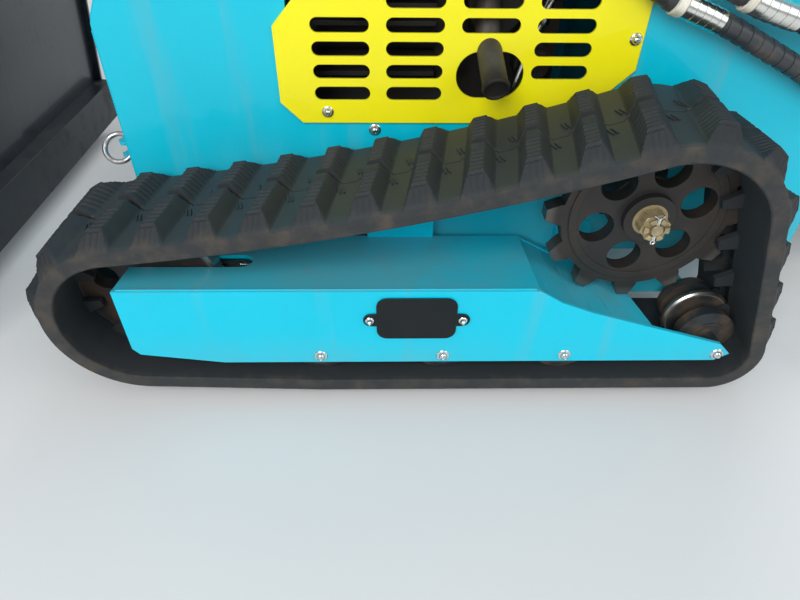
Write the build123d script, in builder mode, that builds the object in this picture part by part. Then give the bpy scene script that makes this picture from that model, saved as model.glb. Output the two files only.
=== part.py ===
from build123d import *
import math
import os

os.makedirs("parts", exist_ok=True)

# Small stand-on compact track loader, in millimetres.
# +X points forward, +Y to the machine's left, +Z up, and z = 0 is the ground under the lug tips.
# x positions are first given ahead of the drive sprocket's axis, then moved by sprocket_x so that
# the origin lies under the middle of the whole machine.

# Rubber belt
belt_pitch = 72
belt_shoes = 35
belt_width = 200
belt_half = 12
lug_height = 22
lug_sink = 3
guide_height = 28
guide_thickness = 10
channel_width = 30
channel_depth = 10
window_length = 38
window_depth = 10
belt_to_hull = 12

# Wheels inside the belt
sprocket_teeth = 12
sprocket_width = 24
sprocket_tip_gap = 2
sprocket_lift = 131
idler_pitch_radius = 118
idler_width = 24
idler_play = 1
roller_radius = 45
flange_radius = 53
flange_width = 12
roller_play = 0.3
roller_half_length = 78
rear_roller_half_length = 52
roller_groove = 28
rear_roller_behind = 139
rollers_ahead = [99, 287, 475]
belt_sag_radius = 3700

# Track frame
frame_wall = 6
frame_outer_offset = 90
frame_inner_offset = 86
frame_bottom_z = 77
frame_top_z = 217
frame_top_drop = 24
frame_front_ahead = 757
frame_slot_width = 36
frame_slot_ahead = 577

# Hull
hull_half = 308
hull_wall = 8
hull_bottom_z = 148
hull_front_ahead = 765
hull_rear_behind = 330
hull_nose_z = 513
hull_top_z = 850
hull_brow_ahead = 596
deck_front_behind = 50
tower_top_z = 1010
track_centre_y = hull_half + belt_to_hull + belt_width / 2
frame_outer_y = track_centre_y + frame_outer_offset
frame_inner_y = track_centre_y - frame_inner_offset

# Loader arms
arm_pivot_behind = 190
arm_pivot_z = 950
arm_elbow_ahead = 905
arm_elbow_z = 830
arm_to_hull = 17
arm_inner_y = hull_half + arm_to_hull
arm_width = 56
arm_pivot_radius = 48
arm_elbow_radius = 54
arm_foot_radius = 40
lift_base_behind = 130
lift_base_z = 760
lift_eye_ahead = 520
lift_eye_z = 763
lift_rod_radius = 15
cross_tube_ahead = 908
cross_tube_z = 732
gusset_radius = 42
cross_tube_radius = 30
tilt_base_ahead = 885
tilt_base_z = 825
tilt_rod_radius = 13
pin_radius = 14
pin_gap = 0.05

# Bucket, parked tipped down on the edge of its floor. It is drawn level, from the hinge pin, with its
# own x along the floor and its own z up, and then turned to the tip that the underside's two
# points in the machine give.
heel_end_ahead = 1145
heel_end_z = 431
edge_step_ahead = 1180
edge_step_z = 143
hinge_to_back = 75
hinge_to_floor = 125
hinge_to_rim = 282
heel_radius = 55
bucket_width = 2 * track_centre_y + belt_width
bucket_sheet = 6
bucket_side = 8
brow_length = 60
brow_angle = 60
edge_thickness = 37
edge_length = 98

# Platform behind the hull
platform_length = 330
platform_gap = 22
platform_width = 560
platform_z = 205

tip_angle = math.atan2(edge_step_z - heel_end_z, edge_step_ahead - heel_end_ahead)
floor_length = hinge_to_back + heel_radius + math.dist(
    (heel_end_ahead, heel_end_z), (edge_step_ahead, edge_step_z))


def turned(x, z):
    """A step in the level bucket's own x and z, turned to the way the bucket is parked."""
    return (
        x * math.cos(tip_angle) - z * math.sin(tip_angle),
        x * math.sin(tip_angle) + z * math.cos(tip_angle),
    )


to_heel_end = turned(hinge_to_back + heel_radius, -hinge_to_floor)
hinge_ahead = heel_end_ahead - to_heel_end[0]
hinge_z = heel_end_z - to_heel_end[1]
brow_start = (hinge_to_back, hinge_to_rim - brow_length * math.sin(math.radians(brow_angle)))
brow_tip = (hinge_to_back + brow_length * math.cos(math.radians(brow_angle)), hinge_to_rim)
front_reach = hinge_ahead + turned(*brow_tip)[0]
rear_reach = hull_rear_behind + platform_gap + platform_length
sprocket_x = -(front_reach - rear_reach) / 2


def ahead(distance):
    """x of a point that lies this far ahead of the sprocket's axis."""
    return sprocket_x + distance


def side(y):
    """Sketch plane seen from the machine's right, at this y: its own x and y are X and Z."""
    return Plane.XZ.offset(-y)


# The belt's pitch line: arcs round the wheels, straight runs, and one wide arc for the sagging top run
pitch_radius = belt_pitch * sprocket_teeth / (2 * math.pi)
lug_tip = belt_half + lug_height
roller_pitch = roller_radius + belt_half
roller_z = lug_tip + roller_pitch
idler_z = lug_tip + idler_pitch_radius + 10
sprocket_z = idler_z + sprocket_lift


def touching_angle(start, start_radius, end, end_radius):
    """Angle at which a straight run leaves one wheel and meets the next, both turned the same way."""
    run = math.dist(start, end)
    heading = math.atan2(end[1] - start[1], end[0] - start[0])
    return math.degrees(heading - math.acos((start_radius - end_radius) / run))


def belt_line(idler_ahead):
    """The pitch line as pieces: ("arc", centre, radius, start, sweep) or ("run", from, to, angle)."""
    sprocket = (ahead(0), sprocket_z)
    rear = (ahead(-rear_roller_behind), roller_z)
    first = (ahead(rollers_ahead[-1]), roller_z)
    idler = (ahead(idler_ahead), idler_z)
    to_sprocket = pitch_radius + belt_sag_radius
    to_idler = idler_pitch_radius + belt_sag_radius
    gap = math.dist(sprocket, idler)
    along = (to_sprocket ** 2 - to_idler ** 2 + gap ** 2) / (2 * gap)
    across = math.sqrt(to_sprocket ** 2 - along ** 2)
    ux, uz = (idler[0] - sprocket[0]) / gap, (idler[1] - sprocket[1]) / gap
    sag = (sprocket[0] + along * ux - across * uz, sprocket[1] + along * uz + across * ux)
    leave_sprocket = math.degrees(math.atan2(sag[1] - sprocket[1], sag[0] - sprocket[0]))
    leave_idler = math.degrees(math.atan2(sag[1] - idler[1], sag[0] - idler[0]))
    down = touching_angle(sprocket, pitch_radius, rear, roller_pitch) % 360
    up = touching_angle(first, roller_pitch, idler, idler_pitch_radius) % 360
    wheels = [
        (sprocket, pitch_radius, leave_sprocket, down),
        (rear, roller_pitch, down, 270),
        (first, roller_pitch, 270, up),
        (idler, idler_pitch_radius, up, leave_idler + 360),
    ]
    line = []
    for number, (centre, radius, start, end) in enumerate(wheels):
        line.append(("arc", centre, radius, start, end - start))
        if number < 3:
            after, after_radius = wheels[number + 1][:2]
            turn = math.radians(end)
            line.append((
                "run",
                (centre[0] + radius * math.cos(turn), centre[1] + radius * math.sin(turn)),
                (after[0] + after_radius * math.cos(turn), after[1] + after_radius * math.sin(turn)),
                end,
            ))
    line.append(("arc", sag, belt_sag_radius, leave_idler + 180, leave_sprocket - leave_idler))
    return line


def line_length(line):
    total = 0
    for piece in line:
        if piece[0] == "arc":
            total += math.radians(abs(piece[4])) * piece[2]
        else:
            total += math.dist(piece[1], piece[2])
    return total


# The grease cylinder pushes the front idler out until the belt's shoes fill the loop
low, high = 500.0, 1100.0
for halving in range(40):
    idler_ahead = (low + high) / 2
    if line_length(belt_line(idler_ahead)) < belt_pitch * belt_shoes:
        low = idler_ahead
    else:
        high = idler_ahead
pitch_line = belt_line(idler_ahead)
print("idler ahead of the sprocket", round(idler_ahead, 2), "loop", round(line_length(pitch_line), 3))


def belt_outline(offset):
    """Draws the closed loop that lies this far outside the pitch line."""
    for piece in pitch_line:
        if piece[0] == "arc":
            outward = offset if piece[4] > 0 else -offset
            CenterArc(piece[1], piece[2] + outward, piece[3], piece[4])
        else:
            turn = math.radians(piece[3])
            dx, dz = offset * math.cos(turn), offset * math.sin(turn)
            Line((piece[1][0] + dx, piece[1][1] + dz), (piece[2][0] + dx, piece[2][1] + dz))


def belt_frame(distance, lift):
    """Frame on the belt: this far round from the sprocket's top, lifted off the pitch line,
    with z outward and x along the belt's run."""
    start = math.radians(90 - pitch_line[0][3]) * pitch_radius
    left = (distance + start) % line_length(pitch_line)
    for piece in pitch_line:
        length = line_length([piece])
        if left <= length:
            break
        left -= length
    if piece[0] == "arc":
        facing = 1 if piece[4] > 0 else -1
        turn = math.radians(piece[3] + piece[4] * left / length)
        x = piece[1][0] + piece[2] * math.cos(turn)
        z = piece[1][1] + piece[2] * math.sin(turn)
        nx, nz = facing * math.cos(turn), facing * math.sin(turn)
    else:
        share = left / length
        x = piece[1][0] + share * (piece[2][0] - piece[1][0])
        z = piece[1][1] + share * (piece[2][1] - piece[1][1])
        nx, nz = math.cos(math.radians(piece[3])), math.sin(math.radians(piece[3]))
    origin = (x + lift * nx, track_centre_y, z + lift * nz)
    return Plane(origin=origin, x_dir=(-nz, 0, nx), z_dir=(nx, 0, nz))


def shoe_frames(shift, lift):
    return [belt_frame((number + shift) * belt_pitch, lift).location for number in range(belt_shoes)]


# One tread lug: a sloping block from the belt's middle to its edge. The two halves stand in one
# slanting line across the belt.
lug_half_base = 22
lug_inner_end = 4
lug_outer_end = belt_width / 2 - 5
lug_slant = 0.155
lug_taper = 24
lug_outline = [
    (lug_slant * lug_inner_end - lug_half_base, lug_inner_end),
    (lug_slant * lug_inner_end + lug_half_base, lug_inner_end),
    (lug_slant * lug_outer_end + lug_half_base, lug_outer_end),
    (lug_slant * lug_outer_end - lug_half_base, lug_outer_end),
]
with BuildPart() as lug:
    with BuildSketch() as lug_plan:
        with BuildLine():
            Polyline(*lug_outline, close=True)
        make_face()
    extrude(amount=lug_height + lug_sink, taper=lug_taper)

with BuildPart() as track_left:
    with BuildSketch(side(track_centre_y + belt_width / 2)):
        with BuildLine():
            belt_outline(belt_half)
        make_face()
        with BuildLine():
            belt_outline(-belt_half)
        make_face(mode=Mode.SUBTRACT)
    extrude(amount=belt_width)
    with BuildSketch(side(track_centre_y + channel_width / 2)):
        with BuildLine():
            belt_outline(channel_depth - belt_half)
        make_face()
        with BuildLine():
            belt_outline(-belt_half - 1)
        make_face(mode=Mode.SUBTRACT)
    extrude(amount=channel_width, mode=Mode.SUBTRACT)
    with Locations(*shoe_frames(0, window_depth - belt_half)):
        Box(window_length, channel_width, 2 * belt_half, mode=Mode.SUBTRACT)
    with Locations(*shoe_frames(0.5, belt_half - lug_sink)):
        add([lug.part, lug.part.rotate(Axis.Z, 180)])
    guide_y = channel_width / 2 + guide_thickness / 2
    guides = []
    for frame in shoe_frames(0.5, -belt_half - guide_height / 2 + 1):
        guides += [frame * Location((0, guide_y, 0)), frame * Location((0, -guide_y, 0))]
    with Locations(*guides):
        Box(26, guide_thickness, guide_height + 2)
    with Locations((0, track_centre_y, -lug_height / 2)):
        Box(3000, belt_width + 20, lug_height, mode=Mode.SUBTRACT)
with BuildPart() as track_right:
    mirror(track_left.part, about=Plane.XZ)
track_left.part.label = "track_left"
export_step(track_left.part, "parts/track_left.step")
track_right.part.label = "track_right"
export_step(track_right.part, "parts/track_right.step")

# Drive sprocket: a cast disc with twelve teeth, a raised rim, six lightening holes and a hub
rim_outer = 112
rim_inner = 100
rim_proud = 2
hub_radius = 37
hub_proud = 12
hole_circle = 71.5
hole_radius = 25
root_radius = pitch_radius - belt_half - 3
tip_radius = pitch_radius + window_depth - sprocket_tip_gap
tooth_root_half = 17
tooth_tip_half = 9
sprocket_face_y = track_centre_y + sprocket_width / 2
with BuildPart() as sprocket:
    with BuildSketch(side(sprocket_face_y)):
        with Locations((ahead(0), sprocket_z)):
            Circle(root_radius)
            with PolarLocations(0, sprocket_teeth):
                Polygon(
                    (root_radius - 6, -tooth_root_half), (root_radius + 3, -tooth_root_half),
                    (tip_radius, -tooth_tip_half), (tip_radius, tooth_tip_half),
                    (root_radius + 3, tooth_root_half), (root_radius - 6, tooth_root_half),
                    align=None,
                )
            with PolarLocations(hole_circle, 6, start_angle=-16.5):
                Circle(hole_radius, mode=Mode.SUBTRACT)
    extrude(amount=sprocket_width)
    with BuildSketch(side(sprocket_face_y + rim_proud)):
        with Locations((ahead(0), sprocket_z)):
            Circle(rim_outer)
            Circle(rim_inner, mode=Mode.SUBTRACT)
    extrude(amount=rim_proud)
    with BuildSketch(side(sprocket_face_y + hub_proud)):
        with Locations((ahead(0), sprocket_z)):
            Circle(hub_radius)
    extrude(amount=hub_proud + sprocket_width)
    with BuildSketch(side(sprocket_face_y + hub_proud + 22)):
        with Locations((ahead(0), sprocket_z)):
            RegularPolygon(21, 6)
    extrude(amount=22)

# Drive motor: its flange on the hull's side, its case, and the shaft end that carries the sprocket
motor_gap = 0.3
sprocket_back_y = track_centre_y - sprocket_width / 2
with BuildPart() as motor:
    with BuildSketch(side(hull_half + 14)):
        with Locations((ahead(0), sprocket_z)):
            Circle(68)
    extrude(amount=14)
    with BuildSketch(side(sprocket_back_y - motor_gap)):
        with Locations((ahead(0), sprocket_z)):
            Circle(50)
    extrude(amount=sprocket_back_y - motor_gap - hull_half - 14)

# Front idler: a narrow cast wheel that runs in the belt's channel, on an axle held by the yoke
idler_rim = idler_pitch_radius - belt_half + channel_depth - idler_play
idler_x = ahead(idler_ahead)
yoke_inner = 20
yoke_wall = 10
with BuildPart() as front_idler:
    with BuildSketch(side(track_centre_y + idler_width / 2)):
        with Locations((idler_x, idler_z)):
            Circle(idler_rim)
            with PolarLocations(66, 5, start_angle=90):
                Circle(21, mode=Mode.SUBTRACT)
    extrude(amount=idler_width)
    with BuildSketch(side(track_centre_y + yoke_inner - 1)):
        with Locations((idler_x, idler_z)):
            Circle(34)
    extrude(amount=2 * yoke_inner - 2)

# Rollers: two drums, a groove for the guide lugs and one centre flange, turned on a shaft
shaft_end_outer = frame_outer_y - frame_wall
shaft_end_inner = frame_inner_y + frame_wall


def roller(x, half_length):
    """One roller, drawn as its half section and turned about its shaft."""
    drum_start = roller_groove
    with BuildPart() as turned:
        with BuildSketch(Plane.XY.offset(roller_z)):
            with BuildLine():
                Polyline(
                    (x, shaft_end_inner + 0.3), (x + 12, shaft_end_inner + 0.3),
                    (x + 12, track_centre_y - half_length), (x + 30, track_centre_y - half_length),
                    (x + roller_radius - roller_play, track_centre_y - half_length + 6),
                    (x + roller_radius - roller_play, track_centre_y - drum_start),
                    (x + 15, track_centre_y - drum_start), (x + 15, track_centre_y - flange_width / 2),
                    (x + flange_radius - 3, track_centre_y - flange_width / 2),
                    (x + flange_radius, track_centre_y - flange_width / 2 + 3),
                    (x + flange_radius, track_centre_y + flange_width / 2 - 3),
                    (x + flange_radius - 3, track_centre_y + flange_width / 2),
                    (x + 15, track_centre_y + flange_width / 2), (x + 15, track_centre_y + drum_start),
                    (x + roller_radius - roller_play, track_centre_y + drum_start),
                    (x + roller_radius - roller_play, track_centre_y + half_length - 6),
                    (x + 30, track_centre_y + half_length), (x + 12, track_centre_y + half_length),
                    (x + 12, shaft_end_outer - 0.3), (x, shaft_end_outer - 0.3),
                    close=True,
                )
            make_face()
        revolve(axis=Axis((x, 0, roller_z), (0, 1, 0)))
    return turned.part


bottom_roller_parts = [roller(ahead(distance), roller_half_length) for distance in rollers_ahead]
bottom_roller_parts.append(roller(ahead(-rear_roller_behind), rear_roller_half_length))
with BuildPart() as bottom_rollers:
    add(bottom_roller_parts)

# Tensioner: the yoke that carries the idler's axle, and the grease cylinder behind it
yoke_back = frame_slot_ahead + 10
cylinder_back = 384
cylinder_radius = idler_z - roller_z - flange_radius - 2
with BuildPart() as tensioner:
    for sign in (1, -1):
        arm_y = track_centre_y + sign * yoke_inner + (yoke_wall if sign > 0 else 0)
        with BuildSketch(side(arm_y)):
            with BuildLine():
                Polyline(
                    (ahead(yoke_back), idler_z - 22), (idler_x, idler_z - 28), (idler_x + 28, idler_z - 16),
                    (idler_x + 28, idler_z + 16), (idler_x, idler_z + 28), (ahead(yoke_back), idler_z + 22),
                    close=True,
                )
            make_face()
        extrude(amount=yoke_wall)
    with BuildSketch(side(track_centre_y + yoke_inner + yoke_wall)):
        with Locations((ahead(yoke_back) + 8, idler_z)):
            Rectangle(16, 44)
    extrude(amount=2 * (yoke_inner + yoke_wall))
    with BuildSketch(Plane.YZ.offset(ahead(cylinder_back))):
        with Locations((track_centre_y, idler_z)):
            Circle(cylinder_radius)
    extrude(amount=yoke_back - cylinder_back)

# Track frame: outer plate, sloping top with the idler's slot, inner web, and the members to the hull
frame_inner_top = frame_top_z - frame_top_drop
tail_radius = 20
with BuildPart() as track_frame:
    with BuildSketch(side(frame_outer_y)):
        with BuildLine():
            Polyline(
                (ahead(623), frame_bottom_z), (ahead(frame_front_ahead - 10), frame_bottom_z + 18),
                (ahead(frame_front_ahead), frame_bottom_z + 30), (ahead(frame_front_ahead), frame_top_z),
                (ahead(155), frame_top_z), (ahead(120), frame_top_z - 22), (ahead(70), frame_top_z - 42),
                (ahead(-rear_roller_behind), roller_z + tail_radius),
                (ahead(-rear_roller_behind - tail_radius), roller_z),
                (ahead(-rear_roller_behind), frame_bottom_z), close=True,
            )
        make_face()
    extrude(amount=frame_wall)
    with BuildSketch(side(frame_inner_y + frame_wall)):
        with BuildLine():
            Polyline(
                (ahead(623), frame_bottom_z), (ahead(frame_front_ahead - 10), frame_bottom_z + 18),
                (ahead(frame_front_ahead), frame_bottom_z + 30), (ahead(frame_front_ahead), frame_inner_top),
                (ahead(155), frame_inner_top), (ahead(60), roller_z + 50),
                (ahead(-rear_roller_behind), roller_z + tail_radius),
                (ahead(-rear_roller_behind - tail_radius), roller_z),
                (ahead(-rear_roller_behind), frame_bottom_z), close=True,
            )
        make_face()
    extrude(amount=frame_wall)
    with BuildSketch(Plane.YZ.offset(ahead(155))):
        with BuildLine():
            Polyline(
                (frame_outer_y, frame_top_z), (frame_inner_y, frame_inner_top),
                (frame_inner_y, frame_inner_top - frame_wall), (frame_outer_y, frame_top_z - frame_wall),
                close=True,
            )
        make_face()
    extrude(amount=frame_front_ahead - 155)
    with BuildSketch(Plane.XY.offset(idler_z + 20)):
        with BuildLine():
            Polyline(
                (ahead(frame_front_ahead) + 1, track_centre_y - frame_slot_width / 2),
                (ahead(frame_slot_ahead) + frame_slot_width / 2, track_centre_y - frame_slot_width / 2),
            )
            ThreePointArc(
                (ahead(frame_slot_ahead) + frame_slot_width / 2, track_centre_y - frame_slot_width / 2),
                (ahead(frame_slot_ahead), track_centre_y),
                (ahead(frame_slot_ahead) + frame_slot_width / 2, track_centre_y + frame_slot_width / 2),
            )
            Polyline(
                (ahead(frame_slot_ahead) + frame_slot_width / 2, track_centre_y + frame_slot_width / 2),
                (ahead(frame_front_ahead) + 1, track_centre_y + frame_slot_width / 2),
                (ahead(frame_front_ahead) + 1, track_centre_y - frame_slot_width / 2),
            )
        make_face()
    extrude(amount=100, mode=Mode.SUBTRACT)
    with BuildSketch(side(frame_outer_y - frame_wall)):
        with Locations((ahead(cylinder_back) - 6, (frame_inner_top + frame_bottom_z) / 2)):
            Rectangle(12 - 0.6, frame_inner_top - frame_bottom_z - 2 * frame_wall)
    extrude(amount=frame_outer_y - frame_inner_y - 2 * frame_wall)
    for start, end in ((297, 405), (30, 90)):
        with BuildSketch(Plane.YZ.offset(ahead(start))):
            with BuildLine():
                Polyline(
                    (hull_half, hull_bottom_z + 2), (frame_inner_y, hull_bottom_z - 30),
                    (frame_inner_y, hull_bottom_z + 30), (hull_half, hull_bottom_z + 60), close=True,
                )
            make_face()
        extrude(amount=end - start)

paired = {
    "drive_sprocket": sprocket,
    "drive_motor": motor,
    "front_idler": front_idler,
    "bottom_rollers": bottom_rollers,
    "tensioner": tensioner,
    "track_frame": track_frame,
}
for name, piece in paired.items():
    piece.part.label = name + "_left"
    export_step(piece.part, "parts/" + name + "_left.step")
    with BuildPart() as other_side:
        mirror(piece.part, about=Plane.XZ)
    other_side.part.label = name + "_right"
    export_step(other_side.part, "parts/" + name + "_right.step")

# Hull sides: one plate each, with the sloping nose, the tower for the arm pivots, the vent window
# and two holes for lifting and lashing
tow_hole_front = ahead(640)
tow_hole_rear = ahead(-255)
tow_hole_z = 720
tow_hole_radius = 16
window_front = 505
window_rear = 80
window_low = 395
window_high = 592
hull_corner_radius = 14
with BuildPart() as hull_side:
    with BuildSketch(side(hull_half)) as hull_outline:
        with BuildLine():
            Polyline(
                (ahead(-hull_rear_behind), hull_bottom_z), (ahead(hull_front_ahead), hull_bottom_z),
                (ahead(hull_front_ahead), hull_nose_z), (ahead(hull_brow_ahead), hull_top_z),
                (ahead(-deck_front_behind), hull_top_z), (ahead(-90), tower_top_z),
                (ahead(-300), tower_top_z), (ahead(-hull_rear_behind), 960), close=True,
            )
        make_face()
        upper_corners = [corner for corner in hull_outline.vertices() if corner.Y > hull_nose_z - 1]
        fillet(upper_corners, radius=hull_corner_radius)
        with Locations((ahead((window_front + window_rear) / 2), (window_low + window_high) / 2)):
            Rectangle(window_front - window_rear, window_high - window_low, mode=Mode.SUBTRACT)
        with Locations((tow_hole_front, tow_hole_z), (tow_hole_rear, tow_hole_z)):
            Circle(tow_hole_radius, mode=Mode.SUBTRACT)
    extrude(amount=hull_wall)
hull_side.part.label = "hull_side_left"
export_step(hull_side.part, "parts/hull_side_left.step")
with BuildPart() as hull_side_right:
    mirror(hull_side.part, about=Plane.XZ)
hull_side_right.part.label = "hull_side_right"
export_step(hull_side_right.part, "parts/hull_side_right.step")

# Pins that carry the arms and the lift cylinders, each with its boss on the hull's side
cap_thickness = 7.5
arm_outer_y = arm_inner_y + arm_width
with BuildPart() as pivot_pins:
    for face, depth, radius in ((arm_outer_y + 0.5 + cap_thickness, cap_thickness, 36),
                                (arm_outer_y + 1, arm_outer_y + 1 - hull_half, 24),
                                (arm_inner_y - 6, arm_inner_y - 6 - hull_half, 42)):
        with BuildSketch(side(face)):
            with Locations((ahead(-arm_pivot_behind), arm_pivot_z)):
                Circle(radius)
        extrude(amount=depth)
    for face, radius in ((arm_outer_y, pin_radius), (arm_inner_y + 4, 30)):
        with BuildSketch(side(face)):
            with Locations((ahead(-lift_base_behind), lift_base_z)):
                Circle(radius)
        extrude(amount=face - hull_half)
    mirror(about=Plane.XZ)
pivot_pins.part.label = "pivot_pins"
export_step(pivot_pins.part, "parts/pivot_pins.step")

hull_inner = hull_half - hull_wall
with BuildPart() as hull_floor:
    with BuildSketch(Plane.XY.offset(hull_bottom_z)):
        with Locations((ahead((hull_front_ahead - hull_rear_behind) / 2), 0)):
            Rectangle(hull_front_ahead + hull_rear_behind - 2 * hull_wall, 2 * hull_inner)
    extrude(amount=hull_wall)
hull_floor.part.label = "hull_floor"
export_step(hull_floor.part, "parts/hull_floor.step")

with BuildPart() as hull_front:
    with BuildSketch(side(hull_inner)):
        with BuildLine():
            Polyline(
                (ahead(hull_front_ahead), hull_bottom_z), (ahead(hull_front_ahead), hull_nose_z),
                (ahead(hull_brow_ahead), hull_top_z), (ahead(hull_brow_ahead) - 9, hull_top_z),
                (ahead(hull_front_ahead) - hull_wall, hull_nose_z - 3),
                (ahead(hull_front_ahead) - hull_wall, hull_bottom_z), close=True,
            )
        make_face()
    extrude(amount=2 * hull_inner)
hull_front.part.label = "hull_front"
export_step(hull_front.part, "parts/hull_front.step")

with BuildPart() as rear_bulkhead:
    with BuildSketch(Plane.YZ.offset(ahead(-hull_rear_behind))):
        with Locations((0, (hull_bottom_z + hull_top_z) / 2)):
            Rectangle(2 * hull_inner, hull_top_z - hull_bottom_z)
    extrude(amount=hull_wall)
    with BuildSketch(Plane.XY.offset(hull_top_z - hull_wall)):
        with Locations((ahead(-(hull_rear_behind + deck_front_behind) / 2) + hull_wall / 2, 0)):
            Rectangle(hull_rear_behind - deck_front_behind - hull_wall, 2 * hull_inner)
    extrude(amount=hull_wall)
    with BuildSketch(Plane.YZ.offset(ahead(-deck_front_behind) - hull_wall)):
        with Locations((0, (hull_bottom_z + hull_wall + hull_top_z - hull_wall) / 2)):
            Rectangle(2 * hull_inner, hull_top_z - hull_bottom_z - 2 * hull_wall)
    extrude(amount=hull_wall)
rear_bulkhead.part.label = "rear_bulkhead"
export_step(rear_bulkhead.part, "parts/rear_bulkhead.step")

# Vent covers: a yellow plate with rows of full-round slots and the exhaust's oval hole
cover_plate = 4
cover_front = 525
cover_rear = 22
cover_low = 378
cover_high = 620
union_notch_ahead = 112
union_notch_z = 594
vent_length = 79
vent_height = 19.5
vent_pitch_x = 101.8
vent_pitch_z = 30.7
vent_first_ahead = 435
vent_first_z = 421.7
oval_ahead = 227
oval_z = 448
vent_rows = [(0, 0, 3), (1, 0, 5), (2, 3, 5), (3, 1, 5)]
cover_corner_radius = 30
notch_corner_radius = 12
with BuildPart() as vent_cover:
    with BuildSketch(side(hull_half + cover_plate)) as cover_outline:
        with BuildLine():
            Polyline(
                (ahead(cover_front), cover_low + 30), (ahead(cover_front - 30), cover_low),
                (ahead(100), cover_low), (ahead(cover_rear), 456),
                (ahead(cover_rear), union_notch_z), (ahead(union_notch_ahead), union_notch_z),
                (ahead(union_notch_ahead), cover_high), (ahead(427), cover_high), (ahead(cover_front), 512),
                close=True,
            )
        make_face()
        notch_x = ahead(union_notch_ahead)
        notch_corners = [corner for corner in cover_outline.vertices() if abs(corner.X - notch_x) < 1]
        plain_corners = [corner for corner in cover_outline.vertices() if abs(corner.X - notch_x) > 1]
        fillet(notch_corners, radius=notch_corner_radius)
        fillet(plain_corners, radius=cover_corner_radius)
        for column, first, last in vent_rows:
            for row in range(first, last + 1):
                x = ahead(vent_first_ahead - column * vent_pitch_x)
                with Locations((x, vent_first_z + row * vent_pitch_z)):
                    SlotOverall(vent_length, vent_height, mode=Mode.SUBTRACT)
        with Locations((ahead(oval_ahead), oval_z)):
            SlotOverall(95, 65, mode=Mode.SUBTRACT)
    extrude(amount=cover_plate)
vent_cover.part.label = "vent_cover_left"
export_step(vent_cover.part, "parts/vent_cover_left.step")
with BuildPart() as vent_cover_right:
    mirror(vent_cover.part, about=Plane.XZ)
vent_cover_right.part.label = "vent_cover_right"
export_step(vent_cover_right.part, "parts/vent_cover_right.step")

# Engine: one plain block on two rails
engine_rear = 110
engine_front = 500
engine_half = 200
engine_low = 230
engine_high = 700
engine_middle = ahead((engine_rear + engine_front) / 2)
with BuildPart() as engine_block:
    with BuildSketch(Plane.XY.offset(engine_low)):
        with Locations((engine_middle, 0)):
            Rectangle(engine_front - engine_rear, 2 * engine_half)
    extrude(amount=engine_high - engine_low)
    with BuildSketch(Plane.XY.offset(hull_bottom_z + hull_wall)):
        with Locations((engine_middle, 140), (engine_middle, -140)):
            Rectangle(engine_front - engine_rear, 50)
    extrude(amount=engine_low - hull_bottom_z - hull_wall)
engine_block.part.label = "engine_block"
export_step(engine_block.part, "parts/engine_block.step")

# Exhaust pipe: comes down beside the engine and bends out through the oval
pipe_radius = 17.5
pipe_bore = 15.5
pipe_route = [
    (ahead(232), engine_half + 0.3, 560), (ahead(232), hull_half - 46, 560),
    (ahead(232), hull_half - 18, 490), (ahead(226), hull_half + 64, 449),
]
with BuildPart() as exhaust_pipe:
    with BuildLine() as pipe_path:
        FilletPolyline(*pipe_route, radius=30)
    with BuildSketch(Plane(origin=pipe_route[0], z_dir=(0, 1, 0))):
        Circle(pipe_radius)
        Circle(pipe_bore, mode=Mode.SUBTRACT)
    sweep()
exhaust_pipe.part.label = "exhaust_pipe"
export_step(exhaust_pipe.part, "parts/exhaust_pipe.step")

# Hood: the folded lid over the engine, with two rows of louvre slots, a grip along its front edge and two
# hinge knuckles at its rear edge
hood_hinge_behind = 38
hood_gap = 5
hood_thickness = 18
hood_sheet = 4
hood_corner = 30
hood_hinge_z = hull_top_z + hood_gap + hood_thickness / 2
hood_length = hull_brow_ahead + hood_hinge_behind
hood_middle = ahead((hull_brow_ahead - hood_hinge_behind) / 2)
louvre_rows = 7
louvre_pitch = 34
knuckle_radius = 8
knuckle_length = 90
with BuildPart() as hood:
    with BuildSketch(Plane.XY.offset(hull_top_z + hood_gap)):
        with Locations((hood_middle, 0)):
            RectangleRounded(hood_length, 2 * hull_half, hood_corner)
    extrude(amount=hood_thickness)
    with BuildSketch(Plane.XY.offset(hull_top_z + hood_gap)):
        with Locations((hood_middle, 0)):
            RectangleRounded(
                hood_length - 2 * hood_sheet, 2 * hull_half - 2 * hood_sheet, hood_corner - hood_sheet)
    extrude(amount=hood_thickness - hood_sheet, mode=Mode.SUBTRACT)
    with BuildSketch(Plane.XY.offset(hull_top_z + hood_gap)):
        with Locations((hood_middle, hull_half / 2), (hood_middle, -hull_half / 2)):
            with GridLocations(louvre_pitch, 0, louvre_rows, 1):
                SlotOverall(hull_half / 2, 12, rotation=90)
    extrude(amount=hood_thickness, mode=Mode.SUBTRACT)
    for middle in (hull_half * 0.6, -hull_half * 0.6):
        with BuildSketch(side(middle + knuckle_length / 2)):
            with Locations((ahead(-hood_hinge_behind), hood_hinge_z)):
                Circle(knuckle_radius)
        extrude(amount=knuckle_length)
hood.part.label = "hood"
export_step(hood.part, "parts/hood.step")

# Console: the tower with the controls above the rear deck
console_inset = 58
console_half = hull_half - console_inset
console_corner = 22
with BuildPart() as console:
    with BuildSketch(side(console_half)) as console_outline:
        with BuildLine():
            Polyline(
                (ahead(-60), hull_top_z), (ahead(-60), 1020), (ahead(-140), 1120),
                (ahead(-hull_rear_behind), 1060), (ahead(-hull_rear_behind), hull_top_z), close=True,
            )
        make_face()
        fillet([corner for corner in console_outline.vertices() if corner.Y > hull_top_z + 1],
               radius=console_corner)
    extrude(amount=2 * console_half)
console.part.label = "console"
export_step(console.part, "parts/console.step")

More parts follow.
